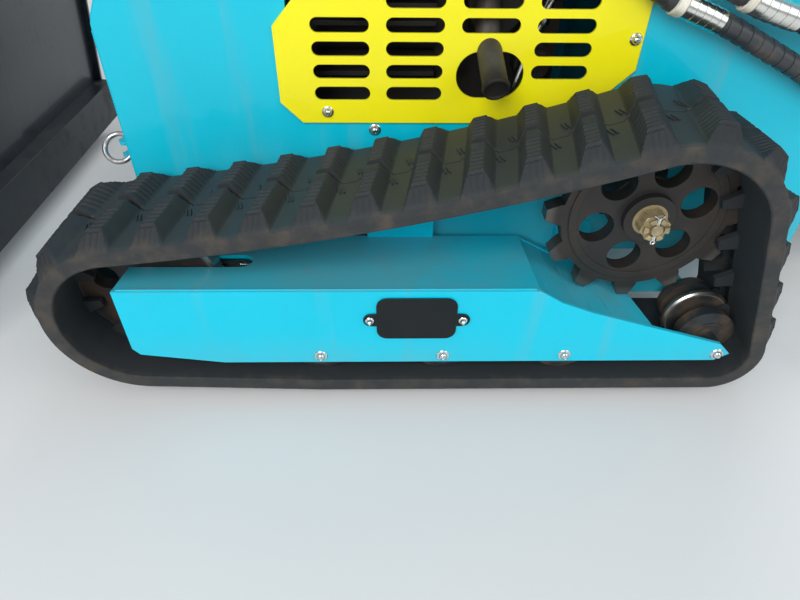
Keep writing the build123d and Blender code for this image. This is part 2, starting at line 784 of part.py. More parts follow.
# Control levers: two tall drive levers and two short ones in a row, with ball knobs
lever_foot_z = 1060
lever_table = [(-110, 129), (-60, 104), (60, 104), (110, 129)]
with BuildPart() as control_levers:
    for y, height in lever_table:
        with BuildSketch(Plane(origin=(ahead(-220), y, lever_foot_z), z_dir=(0, 0, 1))):
            Circle(6)
        extrude(amount=height)
        with Locations((ahead(-220), y, lever_foot_z + height)):
            Sphere(17)
    add(console.part, mode=Mode.SUBTRACT)
control_levers.part.label = "control_levers"
export_step(control_levers.part, "parts/control_levers.step")

# Thigh pad on the rear bulkhead
with BuildPart() as thigh_pad:
    with BuildSketch(Plane.YZ.offset(ahead(-hull_rear_behind) - 0.3)):
        with Locations((0, 760)):
            RectangleRounded(2 * console_half - 80, 150, 40)
    extrude(amount=-45)
thigh_pad.part.label = "thigh_pad"
export_step(thigh_pad.part, "parts/thigh_pad.step")

# Handrail: one bent tube over the rear of the console
rail_radius = 13
rail_foot_y = console_half - 40
rail_grip_y = console_half - 100
rail_route = [
    (ahead(-240), rail_foot_y, 1068), (ahead(-300), rail_foot_y, 1165),
    (ahead(-345), rail_grip_y, 1190), (ahead(-345), -rail_grip_y, 1190),
    (ahead(-300), -rail_foot_y, 1165), (ahead(-240), -rail_foot_y, 1068),
]
with BuildPart() as handrail:
    with BuildLine() as rail_path:
        FilletPolyline(*rail_route, radius=35)
    with BuildSketch(Plane(origin=rail_path.line @ 0, z_dir=rail_path.line % 0)):
        Circle(rail_radius)
    sweep()
    add(console.part, mode=Mode.SUBTRACT)
handrail.part.label = "handrail"
export_step(handrail.part, "parts/handrail.step")

# Platform that the operator stands on, and the bracket that carries its hinge
platform_front = -(hull_rear_behind + platform_gap)
platform_hinge_z = platform_z + 10
with BuildPart() as platform:
    with BuildSketch(Plane.XY.offset(platform_z)):
        with Locations((ahead(platform_front - platform_length / 2), 0)):
            Rectangle(platform_length, platform_width)
    extrude(amount=6)
    with BuildSketch(Plane.XY.offset(platform_z - 24)):
        with Locations((ahead(platform_front - platform_length / 2), 0)):
            Rectangle(platform_length, platform_width)
            Rectangle(platform_length - 12, platform_width - 12, mode=Mode.SUBTRACT)
    extrude(amount=24)
    with BuildSketch(Plane.XY.offset(platform_z)):
        with Locations((ahead(platform_front - platform_length / 2), 0)):
            with GridLocations(52, 88, 5, 5):
                SlotOverall(62, 20, rotation=90)
    extrude(amount=6, mode=Mode.SUBTRACT)
    with BuildSketch(side(platform_width / 2 - 60)):
        with Locations((ahead(platform_front), platform_hinge_z)):
            Circle(7)
    extrude(amount=platform_width - 120)
platform.part.label = "platform"
export_step(platform.part, "parts/platform.step")

with BuildPart() as platform_bracket:
    with BuildSketch(Plane.YZ.offset(ahead(-hull_rear_behind) - 14)):
        with Locations((0, platform_z - 10)):
            Rectangle(500, 40)
    extrude(amount=14)
platform_bracket.part.label = "platform_bracket"
export_step(platform_bracket.part, "parts/platform_bracket.step")

# Tie-down rings on the hull's front, and the headlamps on its sloping nose
with BuildPart() as tie_down_rings:
    for sign in (1, -1):
        ring_y = sign * (hull_half - 18)
        ring_middle = (ahead(hull_front_ahead) + 30, ring_y, 327)
        with BuildSketch(Plane(origin=ring_middle, x_dir=(1, 0, 0), z_dir=(0, 1, 0))):
            with Locations((22, 0)):
                Circle(4)
        revolve(axis=Axis(ring_middle, (0, 0, 1)))
tie_down_rings.part.label = "tie_down_rings"
export_step(tie_down_rings.part, "parts/tie_down_rings.step")

# Loader arms: two box beams bent at the elbow, a cross tube on gussets between them and the cylinder ears
pivot = (ahead(-arm_pivot_behind), arm_pivot_z)
elbow = (ahead(arm_elbow_ahead), arm_elbow_z)
foot = (ahead(hinge_ahead), hinge_z)
cross_tube = (ahead(cross_tube_ahead), cross_tube_z)
lift_base = (ahead(-lift_base_behind), lift_base_z)
lift_eye = (ahead(lift_eye_ahead), lift_eye_z)
tilt_base = (ahead(tilt_base_ahead), tilt_base_z)
tilt_eye_back = 4
tilt_eye_up = 112
to_tilt_eye = turned(-tilt_eye_back, tilt_eye_up)
tilt_eye = (foot[0] + to_tilt_eye[0], foot[1] + to_tilt_eye[1])
arm_pin_radius = 24
ear_plate = 10
arm_middle_y = arm_inner_y + arm_width / 2
tilt_barrel_radius = 28
gland_proud = 4
tilt_eye_half = tilt_barrel_radius + gland_proud + 1
tilt_base_half = tilt_barrel_radius + gland_proud + 6
tilt_ear_plate = 12
with BuildPart() as loader_arms:
    for outer in (arm_inner_y + arm_width, -arm_inner_y):
        for joints in (((pivot, arm_pivot_radius), (elbow, arm_elbow_radius)),
                       ((elbow, arm_elbow_radius), (foot, arm_foot_radius)),
                       ((elbow, arm_elbow_radius), (cross_tube, gusset_radius))):
            with BuildSketch(side(outer)):
                for centre, radius in joints:
                    with Locations(centre):
                        Circle(radius)
                make_hull()
            extrude(amount=arm_width)
        for centre, radius in ((pivot, arm_pin_radius), (foot, pin_radius)):
            with BuildSketch(side(outer)):
                with Locations(centre):
                    Circle(radius + pin_gap)
            extrude(amount=arm_width, mode=Mode.SUBTRACT)
        for inset in (0, arm_width - ear_plate):
            with BuildSketch(side(outer - inset)):
                with BuildLine():
                    Polyline(
                        (lift_eye[0] - 70, lift_eye[1] + 90), (lift_eye[0] - 30, lift_eye[1] - 22),
                        (lift_eye[0] + 30, lift_eye[1] - 22), (lift_eye[0] + 70, lift_eye[1] + 90),
                        close=True,
                    )
                make_face()
            extrude(amount=ear_plate)
    with BuildSketch(side(arm_inner_y)):
        with Locations(cross_tube):
            Circle(cross_tube_radius)
    extrude(amount=2 * arm_inner_y)
    for y in (tilt_base_half + 1 + tilt_ear_plate, -tilt_base_half - 1):
        with BuildSketch(side(y)):
            with BuildLine():
                Polyline(
                    (cross_tube[0] - cross_tube_radius + 1, cross_tube[1]), (tilt_base[0] - 26, tilt_base[1] + 20),
                    (tilt_base[0] + 26, tilt_base[1] + 20),
                    (cross_tube[0] + cross_tube_radius - 1, cross_tube[1]), close=True,
                )
            make_face()
        extrude(amount=tilt_ear_plate)
    with BuildSketch(side(tilt_base_half + 2)):
        with Locations(tilt_base):
            Circle(pin_radius)
    extrude(amount=2 * tilt_base_half + 4)
loader_arms.part.label = "loader_arms"
export_step(loader_arms.part, "parts/loader_arms.step")

# Lift cylinders: a barrel that swings on the hull's pin, and a rod whose eye stands between the arm's ears
lift_eye_half = 16
lift_barrel_radius = 32
lift_stroke = 330
lift_reserve = 64
rod_bite = 45
barrel_foot = 30
eye_radius = 26
rod_play = 0.3


def cylinder_barrel(base, tip, middle_y, eye_half, outer, rod_radius, stroke):
    """Barrel with an eye at its base, hollow for the stroke and closed round the rod by a gland."""
    heading = math.degrees(math.atan2(tip[1] - base[1], tip[0] - base[0]))
    length = barrel_foot + 12 + stroke + rod_bite
    along = Plane(origin=(base[0], middle_y, base[1]), x_dir=(0, 1, 0),
                  z_dir=(math.cos(math.radians(heading)), 0, math.sin(math.radians(heading))))
    with BuildPart() as barrel:
        with BuildSketch(side(middle_y + eye_half)):
            with Locations(base):
                Circle(eye_radius)
                Circle(pin_radius + pin_gap, mode=Mode.SUBTRACT)
        extrude(amount=2 * eye_half)
        with BuildSketch(along.offset(barrel_foot)):
            Circle(outer)
        extrude(amount=length - barrel_foot)
        with BuildSketch(along.offset(eye_radius - 4)):
            Circle(rod_radius)
        extrude(amount=barrel_foot - eye_radius + 4)
        with BuildSketch(along.offset(barrel_foot + 12)):
            Circle(rod_radius + rod_play)
        extrude(amount=length, mode=Mode.SUBTRACT)
        with BuildSketch(along.offset(length - 30)):
            Circle(outer + gland_proud)
            Circle(outer - 4, mode=Mode.SUBTRACT)
        extrude(amount=24)
    return barrel.part


def cylinder_rod(base, tip, middle_y, eye_half, rod_radius, reserve):
    """Chromed rod with its eye at the far end. It can still go in by the reserve."""
    heading = math.atan2(tip[1] - base[1], tip[0] - base[0])
    along = Plane(origin=(base[0], middle_y, base[1]), x_dir=(0, 1, 0),
                  z_dir=(math.cos(heading), 0, math.sin(heading)))
    start = barrel_foot + 12 + rod_play + reserve
    with BuildPart() as rod:
        with BuildSketch(along.offset(start)):
            Circle(rod_radius)
        extrude(amount=math.dist(base, tip) - start)
        with BuildSketch(side(middle_y + eye_half)):
            with Locations(tip):
                Circle(eye_radius)
        extrude(amount=2 * eye_half)
    return rod.part


lift_cylinder = cylinder_barrel(lift_base, lift_eye, arm_middle_y, lift_eye_half,
                                lift_barrel_radius, lift_rod_radius, lift_stroke)
lift_rod = cylinder_rod(lift_base, lift_eye, arm_middle_y, lift_eye_half, lift_rod_radius, lift_reserve)
for name, piece in (("lift_cylinder", lift_cylinder), ("lift_rod", lift_rod)):
    piece.label = name + "_left"
    export_step(piece, "parts/" + name + "_left.step")
    with BuildPart() as other_side:
        mirror(piece, about=Plane.XZ)
    other_side.part.label = name + "_right"
    export_step(other_side.part, "parts/" + name + "_right.step")

# Tilt cylinder, in the middle between the arms
tilt_stroke = 216
tilt_reserve = 190
tilt_cylinder = cylinder_barrel(tilt_base, tilt_eye, 0, tilt_base_half,
                                tilt_barrel_radius, tilt_rod_radius, tilt_stroke)
tilt_cylinder.label = "tilt_cylinder"
export_step(tilt_cylinder, "parts/tilt_cylinder.step")
tilt_rod = cylinder_rod(tilt_base, tilt_eye, 0, tilt_eye_half, tilt_rod_radius, tilt_reserve)
tilt_rod.label = "tilt_rod"
export_step(tilt_rod, "parts/tilt_rod.step")

# Bucket: a sheet bent round the heel and at the brow, two side plates that stand proud as skids under the
# floor, a wear plate in the middle of the floor's underside, and the cutting edge


def tool_side(y):
    """Like side(y), but with the bucket's own x and z, counted from the hinge pin."""
    along_floor = turned(1, 0)
    return Plane(origin=(foot[0], y, foot[1]), x_dir=(along_floor[0], 0, along_floor[1]), z_dir=(0, -1, 0))


heel_centre = (hinge_to_back + heel_radius, heel_radius - hinge_to_floor)
mouth_back = 40
skid_proud = 14
wear_half = 92
wear_thickness = 3
with BuildPart() as bucket:
    with BuildSketch(tool_side(bucket_width / 2 - bucket_side)):
        for inset, mode in ((0, Mode.ADD), (bucket_sheet, Mode.SUBTRACT)):
            inner = 2 * inset
            with BuildLine():
                Polyline(
                    (floor_length + edge_length - mouth_back + inner, inset - hinge_to_floor),
                    (heel_centre[0], inset - hinge_to_floor),
                )
                CenterArc(heel_centre, heel_radius - inset, 180, 90)
                Polyline(
                    (hinge_to_back + inset, heel_centre[1]),
                    (hinge_to_back + inset, brow_start[1]),
                    (brow_tip[0] + inset, brow_tip[1] + inset / 2),
                    (floor_length + edge_length - mouth_back + inner, inset - hinge_to_floor),
                )
            make_face(mode=mode)
    extrude(amount=bucket_width - 2 * bucket_side)
    for y in (bucket_width / 2, -bucket_width / 2 + bucket_side):
        with BuildSketch(tool_side(y)):
            with BuildLine():
                Polyline(
                    (floor_length, -skid_proud - hinge_to_floor),
                    (heel_centre[0], -skid_proud - hinge_to_floor),
                )
                Line(
                    (heel_centre[0], -skid_proud - hinge_to_floor),
                    (hinge_to_back, heel_centre[1]),
                )
                Polyline(
                    (hinge_to_back, heel_centre[1]), brow_start, brow_tip,
                    (hinge_to_back + 150, hinge_to_rim - 20), (floor_length - 20, 20 - hinge_to_floor + 60),
                    (floor_length + edge_length - mouth_back, -hinge_to_floor),
                    (floor_length, -hinge_to_floor),
                    (floor_length, -skid_proud - hinge_to_floor),
                )
            make_face()
        extrude(amount=bucket_side)
    with BuildSketch(tool_side(wear_half)):
        with Locations(((heel_centre[0] + floor_length) / 2, -hinge_to_floor - wear_thickness / 2)):
            Rectangle(floor_length - heel_centre[0], wear_thickness)
    extrude(amount=2 * wear_half)
bucket.part.label = "bucket"
export_step(bucket.part, "parts/bucket.step")

with BuildPart() as bucket_edge:
    with BuildSketch(tool_side(bucket_width / 2)):
        with BuildLine():
            Polyline(
                (floor_length, -hinge_to_floor), (floor_length, -hinge_to_floor - edge_thickness),
                (floor_length + edge_length - 6, -hinge_to_floor - edge_thickness - 10),
                (floor_length + edge_length, -hinge_to_floor - edge_thickness - 4),
                (floor_length + edge_length - mouth_back, -hinge_to_floor), close=True,
            )
        make_face()
    extrude(amount=bucket_width)
bucket_edge.part.label = "bucket_edge"
export_step(bucket_edge.part, "parts/bucket_edge.step")

# Quick attach: a plate against the bucket's back, the hinge ears at the arms' feet with their pins, and
# two taller ears in the middle for the tilt rod's eye
attach_plate = 12
attach_gap = 0.4
attach_high = 170
attach_front = hinge_to_back - attach_gap
attach_back = attach_front - attach_plate
ear_play = 1
beam_half = arm_inner_y + arm_width + ear_play + ear_plate
tilt_ear_gap = 5
with BuildPart() as quick_attach:
    with BuildSketch(tool_side(beam_half)):
        with Locations((attach_front - attach_plate / 2, (attach_high + heel_centre[1]) / 2)):
            Rectangle(attach_plate, attach_high - heel_centre[1])
    extrude(amount=2 * beam_half)
    for outer in (beam_half, arm_inner_y - ear_play,
                  ear_play + ear_plate - arm_inner_y, ear_plate - beam_half):
        with BuildSketch(tool_side(outer)):
            Circle(arm_foot_radius - 6)
            with BuildLine():
                Polyline(
                    (0, arm_foot_radius - 6), (attach_back + 1, arm_foot_radius + 40),
                    (attach_back + 1, -arm_foot_radius - 20), (0, 6 - arm_foot_radius), close=True,
                )
            make_face()
        extrude(amount=ear_plate)
    for outer in (arm_inner_y + arm_width + ear_play, -arm_inner_y + ear_play):
        with BuildSketch(tool_side(outer)):
            Circle(pin_radius)
        extrude(amount=arm_width + 2 * ear_play)
    tilt_ear_inner = tilt_eye_half + tilt_ear_gap - 1
    for outer in (tilt_ear_inner + tilt_ear_plate, -tilt_ear_inner):
        with BuildSketch(tool_side(outer)):
            with Locations((-tilt_eye_back, tilt_eye_up)):
                Circle(24)
            with BuildLine():
                Polyline(
                    (-tilt_eye_back, tilt_eye_up + 24), (attach_back + 1, attach_high - 4),
                    (attach_back + 1, 30), (-tilt_eye_back - 20, tilt_eye_up - 14), close=True,
                )
            make_face()
        extrude(amount=tilt_ear_plate)
quick_attach.part.label = "quick_attach"
export_step(quick_attach.part, "parts/quick_attach.step")

# Headlamps on the sloping nose
lamp_z = 690
nose_run = (hull_front_ahead - hull_brow_ahead) / (hull_top_z - hull_nose_z)
lamp_face = Plane(
    origin=(ahead(hull_front_ahead - (lamp_z - hull_nose_z) * nose_run), 0, lamp_z),
    x_dir=(0, 1, 0), z_dir=(1, 0, nose_run),
)
with BuildPart() as headlamps:
    with BuildSketch(lamp_face):
        with Locations((190, 0), (-190, 0)):
            RectangleRounded(110, 70, 20)
    extrude(amount=30)
headlamps.part.label = "headlamps"
export_step(headlamps.part, "parts/headlamps.step")

# Hydraulic hoses along the hull's sides, each held by an elbow union at both ends
hose_radius = 13
ferrule_radius = 16
union_length = 26
hose_routes = [
    [(66, 24, 598), (24, 24, 558), (-67, 24, 526), (-198, 24, 465), (-262, 24, 430)],
    [(-22, 32, 590), (-90, 34, 553), (-165, 34, 531), (-250, 32, 500)],
]


def bend_radii(route):
    """Widest bends that fit a route: each takes at most 0.45 of the shorter run beside it."""
    radii = []
    for before, corner, after in zip(route, route[1:], route[2:]):
        into = Vector(*corner) - Vector(*before)
        out = Vector(*after) - Vector(*corner)
        half_turn = math.radians(into.get_angle(out)) / 2
        radii.append(0.45 * min(into.length, out.length) / math.tan(half_turn))
    return radii


with BuildPart() as hydraulic_hoses:
    for table_route in hose_routes:
        route = [(ahead(x), hull_half + proud, z) for x, proud, z in table_route]
        radii = bend_radii(route)
        with BuildLine() as hose_path:
            FilletPolyline(*route, radius=radii)
        hose_line = hose_path.wires()[0]
        with BuildSketch(Plane(origin=hose_line @ 0, z_dir=hose_line % 0)):
            Circle(hose_radius)
        hose = sweep(path=hose_line)
        expected = math.pi * hose_radius ** 2 * hose_line.length
        print("hose bends", [round(radius) for radius in radii], "volume", round(hose.volume), round(expected))
    mirror(about=Plane.XZ)
hydraulic_hoses.part.label = "hydraulic_hoses"
export_step(hydraulic_hoses.part, "parts/hydraulic_hoses.step")

with BuildPart() as hose_unions:
    for table_route in hose_routes:
        for end, inner in ((table_route[0], table_route[1]), (table_route[-1], table_route[-2])):
            outward = (Vector(*end) - Vector(*inner)).normalized()
            start = Vector(ahead(end[0]), hull_half + end[1], end[2])
            with BuildSketch(Plane(origin=start, z_dir=outward)):
                Circle(ferrule_radius)
            extrude(amount=union_length)
            elbow_at = start + outward * union_length
            with BuildSketch(side(elbow_at.Y + ferrule_radius)):
                with Locations((elbow_at.X, elbow_at.Z)):
                    Circle(ferrule_radius + 2)
            extrude(amount=elbow_at.Y + ferrule_radius - hull_half)
    mirror(about=Plane.XZ)
hose_unions.part.label = "hose_unions"
export_step(hose_unions.part, "parts/hose_unions.step")
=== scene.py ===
import math

import bmesh
import bpy
from mathutils import Matrix, Vector


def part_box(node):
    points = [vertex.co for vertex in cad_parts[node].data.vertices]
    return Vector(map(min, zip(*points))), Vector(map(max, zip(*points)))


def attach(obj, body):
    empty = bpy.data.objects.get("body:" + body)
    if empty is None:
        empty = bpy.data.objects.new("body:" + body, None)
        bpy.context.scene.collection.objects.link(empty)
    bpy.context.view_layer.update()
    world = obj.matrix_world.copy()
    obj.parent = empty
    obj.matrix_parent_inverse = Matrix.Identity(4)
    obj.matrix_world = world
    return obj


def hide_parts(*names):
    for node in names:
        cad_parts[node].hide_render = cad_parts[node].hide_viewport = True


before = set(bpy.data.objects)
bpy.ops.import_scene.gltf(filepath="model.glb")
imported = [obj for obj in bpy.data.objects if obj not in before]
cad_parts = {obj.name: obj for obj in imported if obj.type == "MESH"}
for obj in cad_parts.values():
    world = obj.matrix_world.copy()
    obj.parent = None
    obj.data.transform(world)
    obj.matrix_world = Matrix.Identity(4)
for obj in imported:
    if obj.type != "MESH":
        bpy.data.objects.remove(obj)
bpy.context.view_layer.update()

# Hull: folded and welded steel plates under a thick coat of glossy teal enamel. Road dust settles on
# ledges and along the lower edges, and small chips show dark primer. The seams carry weld beads.
sprocket_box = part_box("drive_sprocket_left")
sprocket_x = (sprocket_box[0][0] + sprocket_box[1][0]) * 500
sprocket_z = (sprocket_box[0][2] + sprocket_box[1][2]) * 500
track_y = 420
teal = (0.0, 0.56, 0.74, 1)
dust = (0.33, 0.27, 0.19, 1)


def at(x, y, z):
    """A point x mm ahead of the sprocket's axis, at this y and z in mm."""
    return Vector(((sprocket_x + x) / 1000, y / 1000, z / 1000))


class Field:
    """A socket in a material's node tree that can be added to, multiplied and so on like a number."""

    def __init__(self, tree, socket):
        self.tree = tree
        self.socket = socket

    def node(self, kind, settings=None, inputs=None, output=0):
        """Adds any node: its settings first, then its inputs, each a value or another field."""
        made = self.tree.nodes.new(kind)
        for name, value in (settings or {}).items():
            setattr(made, name, value)
        for name, value in (inputs or {}).items():
            if isinstance(value, Field):
                self.tree.links.new(value.socket, made.inputs[name])
            else:
                made.inputs[name].default_value = value
        return Field(self.tree, made.outputs[output])

    def math(self, operation, first, second=0.0):
        return self.node("ShaderNodeMath", {"operation": operation}, {0: first, 1: second})

    def __add__(self, other):
        return self.math("ADD", self, other)

    def __radd__(self, other):
        return self.math("ADD", other, self)

    def __sub__(self, other):
        return self.math("SUBTRACT", self, other)

    def __rsub__(self, other):
        return self.math("SUBTRACT", other, self)

    def __mul__(self, other):
        return self.math("MULTIPLY", self, other)

    def __rmul__(self, other):
        return self.math("MULTIPLY", other, self)

    def __pow__(self, other):
        return self.math("POWER", self, other)

    def __abs__(self):
        return self.math("ABSOLUTE", self)

    def sine(self):
        return self.math("SINE", self)

    def low(self, other):
        return self.math("MINIMUM", self, other)

    def band(self, low, high):
        """Rises smoothly from 0 at the first value to 1 at the second."""
        return self.node("ShaderNodeMapRange", {"interpolation_type": "SMOOTHSTEP", "clamp": True},
                         {"Value": self, "From Min": low, "From Max": high})


class Finish:
    """A material while it is made: place on the object, noises, colour mixes and its shader."""

    def __init__(self, name):
        self.material = bpy.data.materials.new(name)
        self.material.use_nodes = True
        self.tree = self.material.node_tree
        self.tree.nodes.clear()
        spot = self.tree.nodes.new("ShaderNodeTexCoord")
        self.place = Field(self.tree, spot.outputs["Object"])
        self.facing = Field(self.tree, spot.outputs["Normal"])
        self.x, self.y, self.z = [self.part_of(self.place, number) for number in range(3)]
        self.side_facing_for_painted_shade = abs(self.part_of(self.facing, 1))
        self.up = self.part_of(self.facing, 2)

    def part_of(self, vector, number):
        return self.place.node("ShaderNodeSeparateXYZ", inputs={0: vector}, output=number)

    def noise(self, scale, detail=4, rough=0.55, stretch=(1, 1, 1)):
        spot = self.place.node("ShaderNodeMapping", inputs={"Vector": self.place, "Scale": stretch})
        return self.place.node("ShaderNodeTexNoise", inputs={
            "Vector": spot, "Scale": scale, "Detail": detail, "Roughness": rough})

    def cells(self, scale):
        return self.place.node("ShaderNodeTexVoronoi", inputs={"Vector": self.place, "Scale": scale})

    def attribute(self, name):
        return self.place.node("ShaderNodeAttribute", {"attribute_name": name}, output=2)

    def mix(self, share, first, second):
        return self.place.node("ShaderNodeMix", {"data_type": "RGBA"}, {0: share, 6: first, 7: second}, 2)

    def around(self, x, z):
        """Distance in metres from an axle across the machine at this x ahead and z, in mm."""
        centre = at(x, 0, z)
        dx = self.x - centre.x
        dz = self.z - centre.z
        return (dx * dx + dz * dz) ** 0.5

    def done(self, colour, rough, metal=0.0, coat=0.0, bumps=(), edge=0.0, gloss=0.5):
        """Closes the material: bumps are (height, strength, distance in metres), edge is a bevel radius."""
        surface = {"Base Color": colour, "Roughness": rough, "Metallic": metal, "Coat Weight": coat,
                   "Coat Roughness": 0.08, "Specular IOR Level": gloss}
        bent = None
        if edge:
            bent = self.place.node("ShaderNodeBevel", {"samples": 4}, {"Radius": edge})
        for height, strength, distance in bumps:
            inputs = {"Height": height, "Strength": strength, "Distance": distance}
            if bent:
                inputs["Normal"] = bent
            bent = self.place.node("ShaderNodeBump", inputs=inputs)
        if bent:
            surface["Normal"] = bent
        shader = self.place.node("ShaderNodeBsdfPrincipled", inputs=surface)
        out = self.tree.nodes.new("ShaderNodeOutputMaterial")
        self.tree.links.new(shader.socket, out.inputs["Surface"])
        return self.material


def enamel(name, colour, dark, dirt, low=0.16, high=0.42, grime=dust):
    """Glossy enamel with dust on ledges and low down, a few chips and a slight orange peel."""
    paint = Finish(name)
    broad = paint.noise(3.1, 5)
    fine = paint.noise(38, 6, 0.7)
    speck = paint.noise(240, 3, 0.6)
    ledge = paint.up.band(0.45, 0.95)
    sunk = 1.0 - paint.z.band(low, high)
    dusty = ((ledge * 0.55 + sunk * 0.45) * broad.band(0.35, 0.7) * (fine * 0.7 + 0.4) * dirt).low(0.8)
    streak = paint.noise(16, 4, 0.6, (1, 1, 0.09)).band(0.56, 0.74) * 0.2 * dirt
    chip = fine.band(0.705, 0.73) * paint.noise(9, 2).band(0.5, 0.62)
    tone = paint.mix(broad.band(0.3, 0.75) * 0.5, colour, tuple(0.86 * c for c in colour[:3]) + (1,))
    tone = paint.mix(chip * 0.8, tone, dark)
    tone = paint.mix((dusty + streak).low(0.75), tone, grime)
    rough = 0.3 + dusty * 0.5 + chip * 0.3 + fine * 0.06
    return paint.done(tone, rough, coat=0.3 - dusty * 0.3, edge=0.0016, gloss=0.25, bumps=[
        (speck, 0.05, 0.0004), (dusty * speck, 0.25, 0.0006), (1.0 - chip, 0.4, 0.0004)])


def wear(*nodes, finish):
    """Gives CAD nodes this finish."""
    for name in nodes:
        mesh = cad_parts[name].data
        mesh.materials.clear()
        mesh.materials.append(finish)


def piece(name, body, finish, build, angle=35, rounding=0.0, mirrored=None):
    """Makes a mesh piece in place, rides it on its body, and adds its twin on the other side if asked."""
    shape = bmesh.new()
    build(shape)
    bmesh.ops.remove_doubles(shape, verts=shape.verts, dist=1e-6)
    bmesh.ops.recalc_face_normals(shape, faces=shape.faces)
    made = []
    for suffix, flip in (("", False), ("_right", True)):
        if flip and not mirrored:
            continue
        if flip:
            bmesh.ops.scale(shape, vec=(1, -1, 1), verts=shape.verts)
            bmesh.ops.reverse_faces(shape, faces=shape.faces)
        mesh = bpy.data.meshes.new(name + suffix)
        shape.to_mesh(mesh)
        mesh.materials.append(finish)
        mesh.polygons.foreach_set("use_smooth", [True] * len(mesh.polygons))
        mesh.set_sharp_from_angle(angle=math.radians(angle))
        item = bpy.data.objects.new(name + suffix, mesh)
        bpy.context.scene.collection.objects.link(item)
        if rounding:
            soften = item.modifiers.new("edges", "BEVEL")
            soften.width = rounding / 1000
            soften.segments = 2
            soften.limit_method = "ANGLE"
            soften.angle_limit = math.radians(40)
        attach(item, mirrored if flip else body)
        made.append(item)
    shape.free()
    return made


def spun(shape, centre, axis, profile, segments, turn=0.0):
    """Turns a profile of (radius, along) in mm about an axis through the centre."""
    axis = Vector(axis).normalized()
    aside = axis.orthogonal().normalized()
    other = axis.cross(aside)
    rings = []
    for radius, along in profile:
        middle = centre + axis * (along / 1000)
        if radius < 1e-6:
            rings.append([shape.verts.new(middle)])
            continue
        ring = []
        for number in range(segments):
            angle = 2 * math.pi * number / segments + turn
            step = aside * math.cos(angle) + other * math.sin(angle)
            ring.append(shape.verts.new(middle + step * (radius / 1000)))
        rings.append(ring)
    for first, second in zip(rings, rings[1:]):
        for number in range(segments):
            after = (number + 1) % segments
            corners = [first[number % len(first)], first[after % len(first)],
                       second[after % len(second)], second[number % len(second)]]
            kept = list(dict.fromkeys(corners))
            if len(kept) > 2:
                shape.faces.new(kept)
    for ring in (rings[0], rings[-1]):
        if len(ring) > 2:
            shape.faces.new(ring)


def join(shape, first, second, closed=True):
    """Faces between two rows of corners, and from the last back to the first where they are rings."""
    count = len(first)
    for k in range(count if closed else count - 1):
        after = (k + 1) % count
        shape.faces.new((first[k], first[after], second[after], second[k]))


def tube(shape, points, radius, sides, closed_ends=True):
    """A round bar through points in metres. Its radius in mm is one value, or one for each point."""
    rings = []
    last = None
    for number, point in enumerate(points):
        before = points[max(number - 1, 0)]
        after = points[min(number + 1, len(points) - 1)]
        run = (after - before).normalized()
        if last is None:
            last = run.orthogonal().normalized()
        last = (last - run * last.dot(run)).normalized()
        other = run.cross(last)
        size = radius[number] if isinstance(radius, (list, tuple)) else radius
        rings.append([shape.verts.new(point + (last * math.cos(a) + other * math.sin(a)) * (size / 1000))
                      for a in [2 * math.pi * k / sides for k in range(sides)]])
    for first, second in zip(rings, rings[1:]):
        join(shape, first, second)
    if closed_ends:
        shape.faces.new(rings[0])
        shape.faces.new(rings[-1])


def slab(shape, corners, thick):
    """A plate: its corners in one plane, and the vector that it is pushed out by, all in metres."""
    front = [shape.verts.new(corner) for corner in corners]
    back = [shape.verts.new(corner + thick) for corner in corners]
    shape.faces.new(front)
    shape.faces.new(back)
    join(shape, front, back)


def rounded(half_across, half_up, corner, steps):
    """A rounded outline about 0, 0, going once round: its corners' centres stand at these halves."""
    outline = []
    for side, lift, start in ((1, 1, 0), (-1, 1, 90), (-1, -1, 180), (1, -1, 270)):
        for k in range(steps + 1):
            angle = math.radians(start + 90 * k / steps)
            outline.append((side * half_across + corner * math.cos(angle),
                            lift * half_up + corner * math.sin(angle)))
    return outline


def bead(shape, start, end, width=5.0):
    """A weld bead between two points: a bar whose width in mm swells with every ripple."""
    ripple = 4.0
    length = (end - start).length * 1000
    steps = max(int(length / ripple * 3), 6)
    points, radii = [], []
    for k in range(steps + 1):
        share = k / steps
        points.append(start.lerp(end, share))
        swell = 0.14 * math.sin(share * length / ripple * 2 * math.pi)
        ends = min(1.0, share * length / width + 0.35, (1 - share) * length / width + 0.35)
        radii.append(width / 2 * (1 + swell) * ends)
    tube(shape, points, radii, 8)


primer = (0.02, 0.06, 0.07, 1)
teal_hull = enamel("teal_hull", teal, primer, dirt=0.8)
teal_lid = enamel("teal_lid", teal, primer, dirt=0.5, low=-1, high=-0.5)
wear("hull_side_left", "hull_side_right", "hull_front", "hull_floor", "rear_bulkhead", finish=teal_hull)
wear("hood", finish=teal_lid)


def hull_beads(shape):
    """Up the front edge of both side plates, and on up the sloping nose."""
    for y in (303, -303):
        for (low_x, low_z), (high_x, high_z) in (((766, 152), (766, 505)), ((764, 516), (604, 838))):
            bead(shape, at(low_x, y, low_z), at(high_x, y, high_z))


piece("hull_welds", "chassis", teal_hull, hull_beads)

# Bright hardware: zinc plated and chromed bolts hold the covers, shafts and motors. Most are flanged
# button heads with a hexagon socket, the structural ones are hexagon heads on washers.
zinc = Finish("bright_bolts")
zinc_grain = zinc.noise(180, 4, 0.6)
zinc_stain = zinc.noise(45, 4).band(0.5, 0.75)
bright_bolts = zinc.done(
    zinc.mix(zinc_stain * 0.5, (0.78, 0.79, 0.78, 1), (0.36, 0.33, 0.27, 1)),
    0.14 + zinc_grain * 0.12 + zinc_stain * 0.2, metal=1.0, bumps=[(zinc_grain, 0.08, 0.0003)])


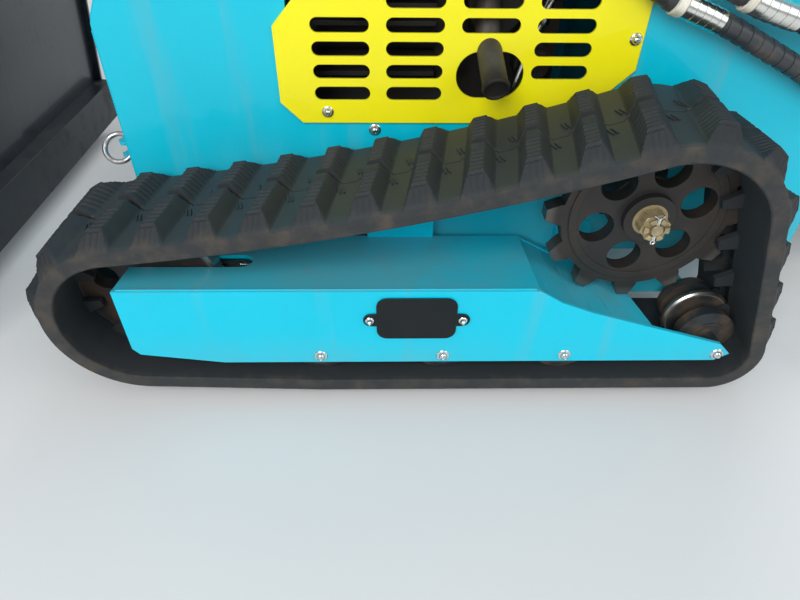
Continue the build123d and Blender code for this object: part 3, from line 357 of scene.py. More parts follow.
def button_bolt(shape, spot, axis, radius):
    """Flange, domed head and hexagon socket."""
    head = radius * 0.68
    flange = [(0, 0), (radius, 0), (radius, 1.2), (radius - 0.7, 2.0), (head + 0.8, 2.4)]
    spun(shape, spot, axis, flange, 28)
    dome = [(head, 2.2)]
    for k in range(5):
        angle = math.radians(12 + k * 13)
        dome.append((head * math.cos(angle), 2.4 + 5.6 * math.sin(angle)))
    dome.append((head * 0.42, 7.9))
    spun(shape, spot, axis, dome, 28)
    spun(shape, spot, axis, [(head * 0.44, 8.0), (head * 0.43, 8.1), (head * 0.41, 4.0), (0, 3.2)], 6)


def hexagon_bolt(shape, spot, axis, across, high, turn=0.3):
    """Washer, chamfered hexagon head and the raised face on top."""
    washer = [(0, 0), (across * 0.78, 0), (across * 0.78, 1.6), (across * 0.72, 2.2), (0, 2.2)]
    head = [(across * 0.57, 2.0), (across * 0.577, 2.0 + high * 0.82), (across * 0.5, 2.0 + high),
            (0, 2.0 + high)]
    face = [(across * 0.5, 2.0 + high * 0.9), (across * 0.46, 2.2 + high), (0, 2.2 + high)]
    spun(shape, spot, axis, washer, 28)
    spun(shape, spot, axis, head, 6, turn)
    spun(shape, spot, axis, face, 24)


def bolt_circle(shape, centre, radius, count, first, side, sizes, twist):
    """Hexagon bolts round a centre in mm, on an axis across the machine, each head turned further."""
    x, y, z = centre
    for k in range(count):
        angle = math.radians(first + 360 * k / count)
        spot = at(x + radius * math.cos(angle), y, z + radius * math.sin(angle))
        hexagon_bolt(shape, spot, (0, side, 0), *sizes, twist * k)


def cover_bolts(shape):
    for x, z in ((458, 395), (33, 498), (440, 598), (140, 606)):
        button_bolt(shape, at(x, 312, z), (0, 1, 0), 8.5)
    button_bolt(shape, at(390, 308, 366), (0, 1, 0), 9)


def motor_bolts(shape):
    bolt_circle(shape, (0, 322, sprocket_z), 59, 8, 22.5, 1, (13, 7), 0.4)


piece("cover_bolts", "chassis", bright_bolts, cover_bolts, mirrored="chassis")
piece("motor_bolts", "chassis", bright_bolts, motor_bolts, mirrored="chassis")

# Vent covers: laser-cut plates in warning yellow, screwed over the engine bay's window. Dust lies in a
# film over their lower third.
yellow = enamel("yellow_cover", (0.97, 0.89, 0.006, 1), (0.05, 0.045, 0.03, 1), dirt=0.35, low=0.33,
                high=0.52, grime=(0.62, 0.5, 0.12, 1))
wear("vent_cover_left", "vent_cover_right", finish=yellow)

# Engine bay: behind the slots stand a dark ribbed crankcase with round covers, a red filter can, a bright
# pipe and a cable. They are shallow pieces on the side of the engine block.
iron = Finish("engine_iron")
iron_grain = iron.noise(120, 5, 0.65)
iron_oil = iron.noise(11, 4).band(0.42, 0.66)
engine_iron = iron.done(
    iron.mix(iron_oil * 0.7, (0.028, 0.027, 0.026, 1), (0.05, 0.036, 0.024, 1)),
    0.62 - iron_oil * 0.25, metal=0.2, edge=0.001, bumps=[(iron_grain, 0.35, 0.0008)])
wear("engine_block", finish=engine_iron)
can = Finish("filter_can")
can_dust = can.noise(30, 5).band(0.4, 0.7) * 0.5
filter_can = can.done(can.mix(can_dust, (0.42, 0.012, 0.01, 1), (0.12, 0.05, 0.035, 1)),
                      0.3 + can_dust * 0.4, coat=0.3)
polished = Finish("bay_pipe")
pipe_grain = polished.noise(60, 4, 0.6, (1, 1, 4))
bay_pipe = polished.done(polished.mix(pipe_grain, (0.7, 0.7, 0.71, 1), (0.45, 0.44, 0.42, 1)),
                         0.12 + pipe_grain * 0.1, metal=1.0)


def crankcase(shape):
    """Cooling ribs, four round covers with bolts round the largest, and a cable looped in front."""
    rib_high, rib_out = 7, Vector((0, 0.034, 0))
    for z in range(420, 613, 24):
        rib = ((300, z), (480, z), (480, z + rib_high), (300, z + rib_high))
        slab(shape, [at(rib_x, 201, rib_z) for rib_x, rib_z in rib], rib_out)
    covers = ((215, 520, 48, 40), (165, 590, 26, 58), (150, 440, 30, 50), (420, 640, 34, 60))
    for x, z, radius, deep in covers:
        spun(shape, at(x, 200, z), (0, 1, 0), [
            (0, 0), (radius, 0), (radius, deep - 12), (radius - 5, deep - 8), (radius - 5, deep - 4),
            (radius - 9, deep), (8, deep), (7, deep + 4), (0, deep + 4)], 32)
    bolt_circle(shape, (215, 228, 520), 39, 6, 30, 1, (9, 5), 0.5)
    path = [at(290, 214, 410), at(270, 232, 440), at(262, 238, 500), at(275, 236, 560), at(320, 226, 600)]
    tube(shape, path, 9, 12)


def red_can(shape):
    spun(shape, at(385, 262, 560), (0, 0, 1), [
        (0, 0), (22, 0), (27, 4), (28, 10), (28, 62), (30, 63), (30, 68), (24, 70), (24, 76), (0, 76)], 32)


def bright_pipe(shape):
    path = []
    for k in range(15):
        share = k / 14
        path.append(at(118 + 60 * share, 258, 585 - 175 * share + 26 * math.sin(share * math.pi)))
    tube(shape, path, 8, 16)
    spun(shape, at(150, 258, 512), (0.4, 0, -1), [(0, 0), (11, 0), (11, 9), (0, 9)], 6)


piece("crankcase", "chassis", engine_iron, crankcase, rounding=0.8, mirrored="chassis")
piece("oil_filter", "chassis", filter_can, red_can, mirrored="chassis")
piece("bay_pipe", "chassis", bay_pipe, bright_pipe, mirrored="chassis")

# Exhaust: a thin steel pipe that comes out through the vent cover, brown from heat and dull. Towards its
# mouth it is black with soot, and the mouth has a rolled rim.
pipe = Finish("exhaust_tube")
heat = pipe.noise(14, 4)
soot = pipe.noise(70, 5, 0.6)
mouth = at(226, 372, 449)
near = (pipe.y - mouth.y) * 1000
scorched = near.band(-26, 2)
browned = pipe.mix(heat.band(0.3, 0.7), (0.12, 0.115, 0.105, 1), (0.06, 0.045, 0.035, 1))
exhaust_tube = pipe.done(pipe.mix(scorched * 0.8, browned, (0.016, 0.016, 0.018, 1)),
                         0.5 + soot * 0.25, metal=0.6, bumps=[(soot, 0.2, 0.0005)])
wear("exhaust_pipe", finish=exhaust_tube)


def rolled_mouth(shape):
    run = (mouth - at(232, 290, 490)).normalized()
    rim = [(15.4, -6), (17.9, -6), (18.6, -3.5), (18.9, -1), (18.4, 1.4), (17.2, 2.4), (15.8, 1.8), (15.4, 0)]
    spun(shape, mouth - run * 0.004, run, rim, 40)


piece("exhaust_mouth", "chassis", exhaust_tube, rolled_mouth)

# Hydraulic hoses: black rubber in an abrasion wrap of wound plastic strip, with bright crimped ferrules
# whose first turns are bound in cream tape. The elbows at both ends screw into the hull.
hose_step, wrap_turn = 1.5, 19
hose_routes = [
    [(66, 332, 598), (24, 332, 558), (-67, 332, 526), (-198, 332, 465), (-262, 332, 430)],
    [(-22, 340, 590), (-90, 342, 553), (-165, 342, 531), (-250, 340, 500)],
]
wrap = Finish("hose_wrap")
wrap_dust = wrap.noise(26, 5).band(0.45, 0.75)
hose_wrap = wrap.done(wrap.mix(wrap_dust * 0.6, (0.035, 0.04, 0.045, 1), (0.16, 0.13, 0.1, 1)),
                      0.42 + wrap_dust * 0.35, bumps=[(wrap.noise(300, 3), 0.1, 0.0003)])
crimp = Finish("crimped_ferrule")
crimp_grain = crimp.noise(140, 4)
crimped = crimp.done(crimp.mix(crimp_grain, (0.85, 0.87, 0.86, 1), (0.6, 0.58, 0.5, 1)),
                     0.16 + crimp_grain * 0.14, metal=1.0, bumps=[(crimp_grain, 0.1, 0.0003)])
tape = Finish("cream_tape")
tape_turns = (tape.x * 900).sine()
tape_dirt = tape.noise(40, 4).band(0.4, 0.7) * 0.6
cream_tape = tape.done(tape.mix(tape_dirt, (0.82, 0.8, 0.68, 1), (0.42, 0.37, 0.26, 1)), 0.6,
                       bumps=[(tape_turns, 0.3, 0.0006)])
wear("hydraulic_hoses", finish=hose_wrap)
wear("hose_unions", finish=crimped)


def rounded_route(points, radii):
    """The CAD hose's middle line: straight runs joined by arcs, as points in metres."""
    arc_step = 4.0
    line = [points[0]]
    for before, corner, after, radius in zip(points, points[1:], points[2:], radii):
        into = (corner - before).normalized()
        out = (after - corner).normalized()
        half = into.angle(out) / 2
        back = radius * math.tan(half)
        start = corner - into * back
        axis = into.cross(out).normalized()
        centre = start + axis.cross(into) * radius
        turns = max(int(2 * half * radius * 1000 / arc_step), 3)
        for k in range(turns + 1):
            line.append(centre + Matrix.Rotation(2 * half * k / turns, 3, axis) @ (start - centre))
    line.append(points[-1])
    return line


def even_steps(line, step):
    """The same line in equal steps."""
    even, left = [line[0]], step
    for start, end in zip(line, line[1:]):
        length = (end - start).length
        used = 0.0
        while length - used >= left:
            used += left
            even.append(start.lerp(end, used / length))
            left = step
        left -= length - used
    return even


hose_lines = []
for route in hose_routes:
    points = [at(*point) for point in route]
    radii = []
    for before, corner, after in zip(points, points[1:], points[2:]):
        into, out = corner - before, after - corner
        radii.append(0.45 * min(into.length, out.length) / math.tan(into.angle(out) / 2))
    hose_lines.append(even_steps(rounded_route(points, radii), hose_step / 1000))


def spiral(shape):
    """A flat strip wound round each hose between its ferrules."""
    flat = [(-6.2, 13.0), (-5.6, 14.5), (5.6, 14.5), (6.2, 13.0)]
    for line in hose_lines:
        last = (line[1] - line[0]).orthogonal().normalized()
        rows = []
        for k in range(8, len(line) - 8):
            run = (line[k + 1] - line[k - 1]).normalized()
            last = (last - run * last.dot(run)).normalized()
            other = run.cross(last)
            turn = k * hose_step / wrap_turn * 2 * math.pi
            way = last * math.cos(turn) + other * math.sin(turn)
            rows.append([shape.verts.new(line[k] + (run * along + way * out) / 1000) for along, out in flat])
        for first, second in zip(rows, rows[1:]):
            join(shape, first, second, closed=False)


def sleeve(shape, line, start, end, radius, ridges=0.0):
    """A sleeve round the hose between two distances along it in mm, with ridges this high."""
    points = line[int(start / hose_step):int(end / hose_step) + 1]
    sizes = []
    for k in range(len(points)):
        share = k / (len(points) - 1)
        lip = 0.8 if k in (0, len(points) - 1) else 1.0
        sizes.append(radius * lip + ridges * (1 if math.sin(share * 34) > 0 else 0))
    tube(shape, points, sizes, 24)


def ferrules(shape):
    """A long crimped sleeve part of the way along each hose, and a short one at both its ends."""
    crimps = ((92, 152, (104, 116, 128, 140)), (78, 150, (92, 106, 120, 134)))
    for line, (start, end, collars) in zip(hose_lines, crimps):
        sleeve(shape, line, start, end, 15.8)
        for collar in collars:
            sleeve(shape, line, collar, collar + 6, 16.5)
    for line in hose_lines:
        sleeve(shape, line, 0, 26, 15.0, 0.8)
        sleeve(shape, list(reversed(line)), 0, 26, 15.0, 0.8)


def tape_bands(shape):
    for line, (start, end) in zip(hose_lines, ((78, 94), (66, 80))):
        sleeve(shape, line, start, end, 16.2, 0.5)


piece("hose_spirals", "chassis", hose_wrap, spiral, mirrored="chassis")
piece("hose_ferrules", "chassis", crimped, ferrules, mirrored="chassis")
piece("hose_tapes", "chassis", cream_tape, tape_bands, mirrored="chassis")

# Track frames: welded boxes in the hull's teal. Dirt packs along their bottom edge, and the outer plate
# has an access cover over the grease fitting and the heads of the roller bolts.
roller_z, roller_xs, rear_x = 91.0, (99, 287, 475), -139
teal_frame = enamel("teal_frame", (0.0, 0.6, 0.8, 1), (0.03, 0.05, 0.05, 1), dirt=0.7, low=0.06,
                    high=0.15)
wear("track_frame_left", "track_frame_right", finish=teal_frame)
cover = Finish("access_cover")
cover_dust = cover.noise(20, 5).band(0.42, 0.72)
black_cover = cover.done(cover.mix(cover_dust * 0.12, (0.004, 0.007, 0.009, 1), (0.06, 0.055, 0.045, 1)),
                         0.4 + cover_dust * 0.3, gloss=0.3, edge=0.001,
                         bumps=[(cover.noise(160, 4), 0.1, 0.0004)])


def access_cover(shape):
    """A rounded plate with an ear at both ends for its bolts."""
    face_y, middle_x, middle_z = 510.2, 329.5, 167.5
    slab(shape, [at(middle_x + x, face_y, middle_z + z) for x, z in rounded(42.5, 22.5, 16, 6)],
         Vector((0, 0.003, 0)))
    ear_z, ear_radius, ear_root = 165, 11.5, 20
    for ear_x, way in ((396, 1), (263, -1)):
        ear = [(-ear_root, ear_radius)]
        for degrees in range(90, -91, -15):
            angle = math.radians(degrees)
            ear.append((ear_radius * math.cos(angle), ear_radius * math.sin(angle)))
        ear.append((-ear_root, -ear_radius))
        slab(shape, [at(ear_x + way * x, face_y, ear_z + way * z) for x, z in ear], Vector((0, 0.0026, 0)))


def frame_bolts(shape):
    """Two on the access cover's ears, and the heads of the four roller shafts' bolts."""
    for x in (398, 262):
        button_bolt(shape, at(x, 512.6, 165), (0, 1, 0), 6.5)
    for x in (474, 287, 99, rear_x):
        button_bolt(shape, at(x, 509.8, roller_z), (0, 1, 0), 10)


def frame_welds(shape):
    bead(shape, at(160, 506, 217.5), at(752, 506, 217.5), 4)
    bead(shape, at(296, 330, 200), at(406, 330, 200), 7)
    bead(shape, at(297, 330, 122), at(405, 330, 122), 7)


def tail_plates(shape):
    """The frame's top sheet goes on over the tail behind the sprocket, down to a hooked end."""
    outer = [(155, 214), (140, 203), (120, 193), (95, 181), (70, 173), (40, 164), (5, 152), (-30, 141)]
    inner = [(155, 190), (140, 183), (120, 172), (95, 158), (72, 147), (48, 142), (20, 137), (-4, 134)]
    edges = [(at(ax, 508, az), at(bx, 338, bz)) for (ax, az), (bx, bz) in zip(outer, inner)]
    for (outer_start, inner_start), (outer_end, inner_end) in zip(edges, edges[1:]):
        slab(shape, [outer_start, outer_end, inner_end, inner_start], Vector((0, 0, -0.005)))
    bracket = [(297, 188), (405, 188), (405, 228), (297, 228)]
    slab(shape, [at(x, 309, z) for x, z in bracket], Vector((0, 0.03, 0)))
    hook = [(75, 148), (48, 142), (20, 137), (-4, 134), (-22, 128), (-38, 116), (-40, 104),
            (-28, 98), (-14, 104), (-4, 112), (14, 110), (40, 96), (75, 90)]
    slab(shape, [at(x, 336, z) for x, z in hook], Vector((0, 0.006, 0)))


def valve_rod(shape):
    """A threaded rod with a nut at its head, seen through the slot in the frame's top."""
    foot, head = at(624, 420, 187), at(676, 420, 228)
    tube(shape, [foot, head], 5.5, 16)
    run = (head - foot).normalized()
    for k in range(18):
        spun(shape, foot.lerp(head, (k + 1) / 20), run, [(5.4, -0.9), (6.1, 0), (5.4, 0.9)], 16)
    hexagon_bolt(shape, head, run, 13, 7)


piece("frame_tails", "chassis", teal_frame, tail_plates, rounding=0.8, mirrored="chassis")
piece("access_covers", "chassis", black_cover, access_cover, rounding=0.8, mirrored="chassis")
piece("frame_bolts", "chassis", bright_bolts, frame_bolts, mirrored="chassis")
piece("frame_welds", "chassis", teal_frame, frame_welds, mirrored="chassis")

# Drive sprockets: rough iron castings, polished on the teeth and brown elsewhere. A castellated nut in
# yellow zinc holds each on its shaft, kept by a split pin.
cast = Finish("sprocket_iron")
cast_grain = cast.noise(170, 5, 0.65)
cast_rust = cast.noise(13, 5).band(0.4, 0.68)
reach = cast.around(0, sprocket_z)
rubbed = reach.band(0.128, 0.142)
nut_share = (1.0 - reach.band(0.0242, 0.0248)) * abs(cast.y).band(0.4434, 0.4438)
cast_tone = cast.mix(cast_rust * 0.6, (0.027, 0.025, 0.024, 1), (0.056, 0.043, 0.033, 1))
sprocket_iron = cast.done(
    cast.mix(nut_share, cast.mix(rubbed * 0.35, cast_tone, (0.3, 0.28, 0.25, 1)), (0.36, 0.29, 0.16, 1)),
    0.55 - rubbed * 0.2, metal=rubbed * 0.4 + 0.25, edge=0.0018, bumps=[(cast_grain, 0.4, 0.0011)])
wear("drive_sprocket_left", "drive_sprocket_right", finish=sprocket_iron)
motor = Finish("motor_paint")
motor_oil = motor.noise(15, 4).band(0.4, 0.7)
motor_paint = motor.done(motor.mix(motor_oil * 0.5, (0.02, 0.021, 0.022, 1), (0.08, 0.06, 0.04, 1)),
                         0.45 + motor_oil * 0.2, edge=0.0015, bumps=[(motor.noise(150, 4), 0.15, 0.0006)])
wear("drive_motor_left", "drive_motor_right", finish=motor_paint)
gold = Finish("yellow_zinc")
gold_tint = gold.noise(55, 4)
yellow_zinc = gold.done(gold.mix(gold_tint.band(0.35, 0.65), (0.5, 0.4, 0.22, 1), (0.3, 0.25, 0.15, 1)),
                        0.3 + gold_tint * 0.14, metal=0.45, bumps=[(gold.noise(220, 3), 0.1, 0.0003)])


def castle_nut(shape):
    """A hexagon with six raised merlons on its top, and the shaft's end in its middle."""
    spot = at(0, 443.8, sprocket_z)
    spun(shape, spot, (0, 1, 0), [(20.6, 0.2), (21.6, 1.4), (21.6, 20.5), (18.5, 21.4), (0, 21.4)], 6)
    for k in range(6):
        angle = math.radians(60 * k)
        outline = []
        for radius, spread in ((18, -17), (18, 0), (18, 17), (10.8, 17), (10.8, 0), (10.8, -17)):
            turn = angle + math.radians(spread)
            outline.append(spot + Vector((radius * math.cos(turn), 21.2, radius * math.sin(turn))) / 1000)
        slab(shape, outline, Vector((0, 0.007, 0)))
    spun(shape, spot, (0, 1, 0), [(8.8, 20), (8.8, 29), (7.6, 30.4), (0, 30.4)], 28)


def split_pin(shape):
    """Two legs through the nut, spread at one end and joined by an eye at the other."""
    spot = at(0, 469.2, sprocket_z)
    leg = ((1.2, 0.5, -18), (1.2, 0.5, 17), (3, 0.5, 19.5), (7, -2, 21))
    for way in (1, -1):
        tube(shape, [spot + Vector((way * x, y, z)) / 1000 for x, y, z in leg], 1.5, 8)
    eye = []
    for k in range(19):
        angle = math.radians(20 * k)
        eye.append(spot + Vector((3 * math.sin(angle), 0.5, -20 - 3 * math.cos(angle))) / 1000)
    tube(shape, eye, 1.3, 8)


piece("castle_nuts", "chassis", yellow_zinc, castle_nut, rounding=0.5, mirrored="chassis")
piece("split_pins", "chassis", bright_bolts, split_pin, mirrored="chassis")

# Idlers, rollers and tensioners: cast and turned iron that the belt keeps bright on its running faces.
# The grease cylinder and the threaded rod beside it are ground steel with scuffs.
idler_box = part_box("front_idler_left")
idler_x = (idler_box[0][0] + idler_box[1][0]) * 500 - sprocket_x
idler_z = (idler_box[0][2] + idler_box[1][2]) * 500
wheel = Finish("idler_iron")
wheel_grain = wheel.noise(150, 5, 0.6)
wheel_rust = wheel.noise(17, 5).band(0.42, 0.7)
wheel_bright = wheel.around(idler_x, idler_z).band(0.104, 0.113)
wheel_tone = wheel.mix(wheel_rust * 0.7, (0.028, 0.028, 0.03, 1), (0.1, 0.055, 0.03, 1))
idler_iron = wheel.done(
    wheel.mix(wheel_bright * 0.85, wheel_tone, (0.5, 0.49, 0.47, 1)), 0.58 - wheel_bright * 0.3,
    metal=wheel_bright * 0.7 + 0.2, edge=0.0015, bumps=[(wheel_grain, 0.3, 0.0009)])
wear("front_idler_left", "front_idler_right", finish=idler_iron)
drum = Finish("roller_iron")
drum_grain = drum.noise(130, 5, 0.6)
nearest = drum.around(rear_x, roller_z)
for roller_x in roller_xs:
    nearest = nearest.low(drum.around(roller_x, roller_z))
drum_bright = nearest.band(0.046, 0.05)
drum_mud = drum.noise(24, 5).band(0.4, 0.66)
roller_iron = drum.done(
    drum.mix(drum_bright, drum.mix(drum_mud * 0.8, (0.03, 0.04, 0.048, 1), (0.14, 0.1, 0.066, 1)),
             (0.55, 0.53, 0.48, 1)),
    0.5 - drum_bright * 0.25 + drum_mud * 0.2, metal=drum_bright * 0.75 + 0.2, edge=0.0012,
    bumps=[(drum_grain, 0.25, 0.0008)])
wear("bottom_rollers_left", "bottom_rollers_right", finish=roller_iron)
ram = Finish("ground_steel")
ram_lines = ram.noise(90, 4, 0.6, (0.12, 1, 1))
ram_scuff = ram.noise(22, 5, 0.6, (0.4, 1, 1)).band(0.5, 0.66)
ground_steel = ram.done(
    ram.mix(ram_scuff * 0.7, (0.62, 0.6, 0.56, 1), (0.09, 0.075, 0.06, 1)),
    0.2 + ram_scuff * 0.35 + ram_lines * 0.1, metal=0.9, bumps=[(ram_lines, 0.2, 0.0005)])
wear("tensioner_left", "tensioner_right", finish=ground_steel)


def idler_details(shape):
    """A hub cap on both faces of the wheel, held by three small bolts."""
    cap = [(0, -0.5), (24, -0.5), (24, 3), (21, 5), (12, 5), (11, 4), (0, 4)]
    for side in (1, -1):
        spun(shape, at(idler_x, track_y + side * 30, idler_z), (0, side, 0), cap, 36)
        bolt_circle(shape, (idler_x, track_y + side * 34.8, idler_z), 16.5, 3, 30, side, (7, 3.5), 1)


def rear_caps(shape):
    """A stepped cap round the shaft on both ends of the rear idler roller."""
    cap = [(12.5, -0.4), (29, -0.4), (29, 1.2), (25.5, 2.2), (25, 1.2), (17, 1.2), (16.6, 2.6), (12.5, 2.6)]
    for side in (1, -1):
        spun(shape, at(rear_x, track_y + side * 52, roller_z), (0, side, 0), cap, 40)


piece("idler_caps", "chassis", idler_iron, idler_details, mirrored="chassis")
piece("rear_roller_caps", "chassis", roller_iron, rear_caps, mirrored="chassis")
piece("valve_rods", "chassis", ground_steel, valve_rod, mirrored="chassis")

# Rubber belts: one moulded loop a side, with a slanting bar in two halves on each shoe. The bars' tops are
# ribbed, their outer ends fan out, and inside are the drive pockets and two rows of guide lugs.
belt_pitch, shoes, belt_half, lug_high = 72.0, 35, 12.0, 22.0
bar_middle, bar_foot, bar_top, bar_skew = 36.0, 21.5, 8.5, 0.155
bar_gap, bar_end, fan_start, fan_share = 2.2, 99.0, 66, 0.12
rib_start, rib_end, rib_pitch, rib_deep = 20, 77, 9.5, 2.6
mark_start, mark_deep = 75, 1.5
wheel_pitch = belt_pitch * 12 / (2 * math.pi)
idler_pitch, roller_pitch, sag_radius = 118.0, 57.0, 3700.0


def leaving(start, start_radius, end, end_radius):
    """The angle, in degrees, at which the belt leaves one wheel straight for the next."""
    run = math.dist(start, end)
    heading = math.atan2(end[1] - start[1], end[0] - start[0])
    return math.degrees(heading - math.acos((start_radius - end_radius) / run))


def pitch_line():
    """The loop through the belt's cords in mm: arcs (centre, radius, start, sweep) joined by straight runs
    (start, end, the angle that faces outwards, None). Angles are in degrees."""
    hub, tail = (0.0, sprocket_z), (rear_x, roller_z)
    first, front = (roller_xs[-1], roller_z), (idler_x, idler_z)
    to_hub, to_front = wheel_pitch + sag_radius, idler_pitch + sag_radius
    gap = math.dist(hub, front)
    along = (to_hub ** 2 - to_front ** 2 + gap ** 2) / (2 * gap)
    across = math.sqrt(to_hub ** 2 - along ** 2)
    ux, uz = (front[0] - hub[0]) / gap, (front[1] - hub[1]) / gap
    sag = (hub[0] + along * ux - across * uz, hub[1] + along * uz + across * ux)
    off_hub = math.degrees(math.atan2(sag[1] - hub[1], sag[0] - hub[0]))
    off_front = math.degrees(math.atan2(sag[1] - front[1], sag[0] - front[0]))
    down = leaving(hub, wheel_pitch, tail, roller_pitch) % 360
    up = leaving(first, roller_pitch, front, idler_pitch) % 360
    wheels = [(hub, wheel_pitch, off_hub, down), (tail, roller_pitch, down, 270),
              (first, roller_pitch, 270, up), (front, idler_pitch, up, off_front + 360)]
    line = []
    for number, (centre, radius, start, end) in enumerate(wheels):
        line.append((centre, radius, start, end - start))
        if number < 3:
            after, after_radius = wheels[number + 1][:2]
            turn = math.radians(end)
            way = (math.cos(turn), math.sin(turn))
            line.append(((centre[0] + radius * way[0], centre[1] + radius * way[1]),
                         (after[0] + after_radius * way[0], after[1] + after_radius * way[1]), end, None))
    line.append((sag, sag_radius, off_front + 180, off_hub - off_front))
    return line


belt_line = pitch_line()
lengths = []
for start, reach, turned, sweep in belt_line:
    lengths.append(math.dist(start, reach) if sweep is None else math.radians(abs(sweep)) * reach)
loop = sum(lengths)
first_turn = math.radians(90 - belt_line[0][2]) * wheel_pitch


def on_belt(distance, lift, across):
    """A point on the belt: round from the sprocket's top, off the pitch line, and out from the middle."""
    left = (distance * loop / (belt_pitch * shoes) + first_turn) % loop
    for part, length in zip(belt_line, lengths):
        if left <= length:
            break
        left -= length
    share = left / length
    start, reach, turned, sweep = part
    if sweep is None:
        x = start[0] + share * (reach[0] - start[0])
        z = start[1] + share * (reach[1] - start[1])
        out_x, out_z = math.cos(math.radians(turned)), math.sin(math.radians(turned))
    else:
        outward = 1 if sweep > 0 else -1
        angle = math.radians(turned + sweep * share)
        x, z = start[0] + reach * math.cos(angle), start[1] + reach * math.sin(angle)
        out_x, out_z = outward * math.cos(angle), outward * math.sin(angle)
    return at(x + lift * out_x, track_y + across, max(z + lift * out_z, 0.3))


def ramp(value, low, high):
    return min(max((value - low) / (high - low), 0.0), 1.0)


def tread(u, across):
    """Height of the tread over the belt's outer face, u mm along a shoe and this far across."""
    lane = abs(across)
    half_top = bar_top + max(lane - fan_start, 0) * fan_share
    top = ramp(bar_foot - abs(u - bar_middle), 0, bar_foot - half_top)
    ends = min(ramp(lane, bar_gap, 6.0), ramp(bar_end - lane, 0, 24.0))
    high = (lug_high - 1.0) * min(top, ends)
    ribbed_flank = (u - bar_middle) * math.copysign(1, across) < 9
    if rib_start < lane < rib_end and ribbed_flank and top > 0.05:
        groove = abs((lane - rib_start) / rib_pitch % 1.0 - 0.5) * 2
        high -= rib_deep * ramp(groove, 0.45, 0.9) * min(1.0, top * 3)
    if lane > mark_start and top > ends > 0.04:
        high -= mark_deep * abs(math.sin((u - 14) / 44 * 6 * math.pi))
    return min(max(high, 0.0), lug_high)


def belt(shape):
    """The tread, the inner face with its pockets, both edges, the mould marks and the guide lugs."""
    across_layer = shape.verts.layers.float.new("across")
    rise_layer = shape.verts.layers.float.new("rise")

    def corner(number, u, lift, v, rise):
        """A corner on this shoe: u along it, lifted off the pitch line, v across, and its rise to keep."""
        made = shape.verts.new(on_belt(number * belt_pitch + u, lift, v))
        made[across_layer], made[rise_layer] = v, rise
        return made

    u_rows = [0, 5, 9, 12.2, 14.2, 15.4, 18, 20.4, 22.6, 25, 27.2, 28.4, 31, 34, 36,
              38, 41, 43.6, 45.2, 47, 49.4, 51.6, 54, 56.6, 57.8, 60, 63, 67.5]
    outer = [99.3, 98.6, 95, 91, 87, 83, 79, 76.2, 75.8]
    ribs = {round(rib_start + rib_pitch * k + d, 2) for k in range(6) for d in (0.4, 2.6, 6.9, 9.1)}
    inner = [15, 10, 6.1, 4.2, 2.1, 1.2, 0.8]
    columns = outer + [v for v in ribs if v < 75.6] + inner
    across = sorted([-v for v in columns] + [0.0] + columns)
    rows = []
    for number in range(shoes):
        for u in u_rows:
            row = []
            for v in across:
                zig = -3.0 * (1 if 12 < u < 60 else -1) if abs(v) < 7 else 0
                rise = tread(u, v) - (2.2 if abs(v) < 1.0 else 0)
                edge = 1.6 * ramp(abs(v), 94, 98.6) ** 2
                row.append(corner(number, u - bar_skew * v, belt_half + rise - edge, v + zig, rise))
            rows.append(row)
    inner_u = [0, 18.6, 19.4, 36, 52.6, 53.4]
    inner_v = [-100, -99, -60, -15.4, -14.6, 0, 14.6, 15.4, 60, 99, 100]
    under = []
    for number in range(shoes):
        for u in inner_u:
            row = []
            for v in inner_v:
                lift = -belt_half + (1.5 if abs(v) == 100 else 0)
                if abs(v) < 15:
                    lift = -2.0 if 19 < u < 53 else 8.0
                row.append(corner(number, u, lift, v, -5.0))
            under.append(row)
    for grid in (rows, under):
        for first, second in zip(grid, grid[1:] + grid[:1]):
            join(shape, first, second, closed=False)
    for end, v in ((0, -100.0), (-1, 100.0)):
        brim, foot = [
            [corner(number, u - bar_skew * v, lift, v, 0.0) for number in range(shoes) for u in u_rows]
            for lift in (belt_half - 4.0, -belt_half + 1.5)]
        join(shape, brim, foot)
        join(shape, [row[end] for row in rows], brim)
    for number in range(shoes):
        for side in (1, -1):
            for shift in (0, 5.5):
                mark = [(bar_middle + side * (u + shift - bar_skew * v), side * v)
                        for u, v in ((20.5, 15), (22.7, 15), (29.2, 31), (27, 31))]
                foot, crest = [[corner(number, u, belt_half + lift, v, 2.0) for u, v in mark]
                               for lift in (-1.0, 2.2)]
                shape.faces.new(crest)
                join(shape, foot, crest)
            guide = ((-13, -5), (13, -5), (13, 5), (-13, 5))
            base, tip = [
                [corner(number, belt_pitch / 2 + u * shrink, lift, side * 20 + v * (shrink * 0.4 + 0.6), -5.0)
                 for u, v in guide] for lift, shrink in ((-11.5, 1.0), (-39.5, 0.62))]
            shape.faces.new(tip)
            join(shape, base, tip)


rubber = Finish("belt_rubber")
out_at = rubber.attribute("across")
rise_at = rubber.attribute("rise")
rubber_grain = rubber.noise(210, 4, 0.6)
rubber_patch = rubber.noise(9, 5)
rubber_mud = rubber.noise(34, 6, 0.65)
on_top = rise_at.band(19, 22)
edge_dirt = abs(out_at).band(86, 100) * rubber_mud.band(0.4, 0.7)
valley = (1.0 - rise_at.band(0.5, 4)) * rise_at.band(-1, 0)
scuffs = rubber.noise(60, 5, 0.7, (1, 0.3, 1)).band(0.52, 0.68) * on_top
dirt_share = (edge_dirt * 0.3 + rubber_mud.band(0.5, 0.75) * 0.16 * rubber_patch.band(0.35, 0.65)).low(0.7)
# Painted shade: faces turned sideways, most of all the fanned outer ends of the bars, are darkened to near
# black.
outward = rubber.side_facing_for_painted_shade.band(0.35, 0.75)
rubber_tone = rubber.mix(valley * 0.7, (0.03, 0.036, 0.04, 1), (0.046, 0.054, 0.057, 1))
rubber_tone = rubber.mix(outward * 0.6, rubber_tone, (0.018, 0.019, 0.02, 1))
rubber_tone = rubber.mix(scuffs * 0.3, rubber_tone, (0.09, 0.088, 0.08, 1))
rubber_tone = rubber.mix(dirt_share, rubber_tone, (0.13, 0.1, 0.07, 1))
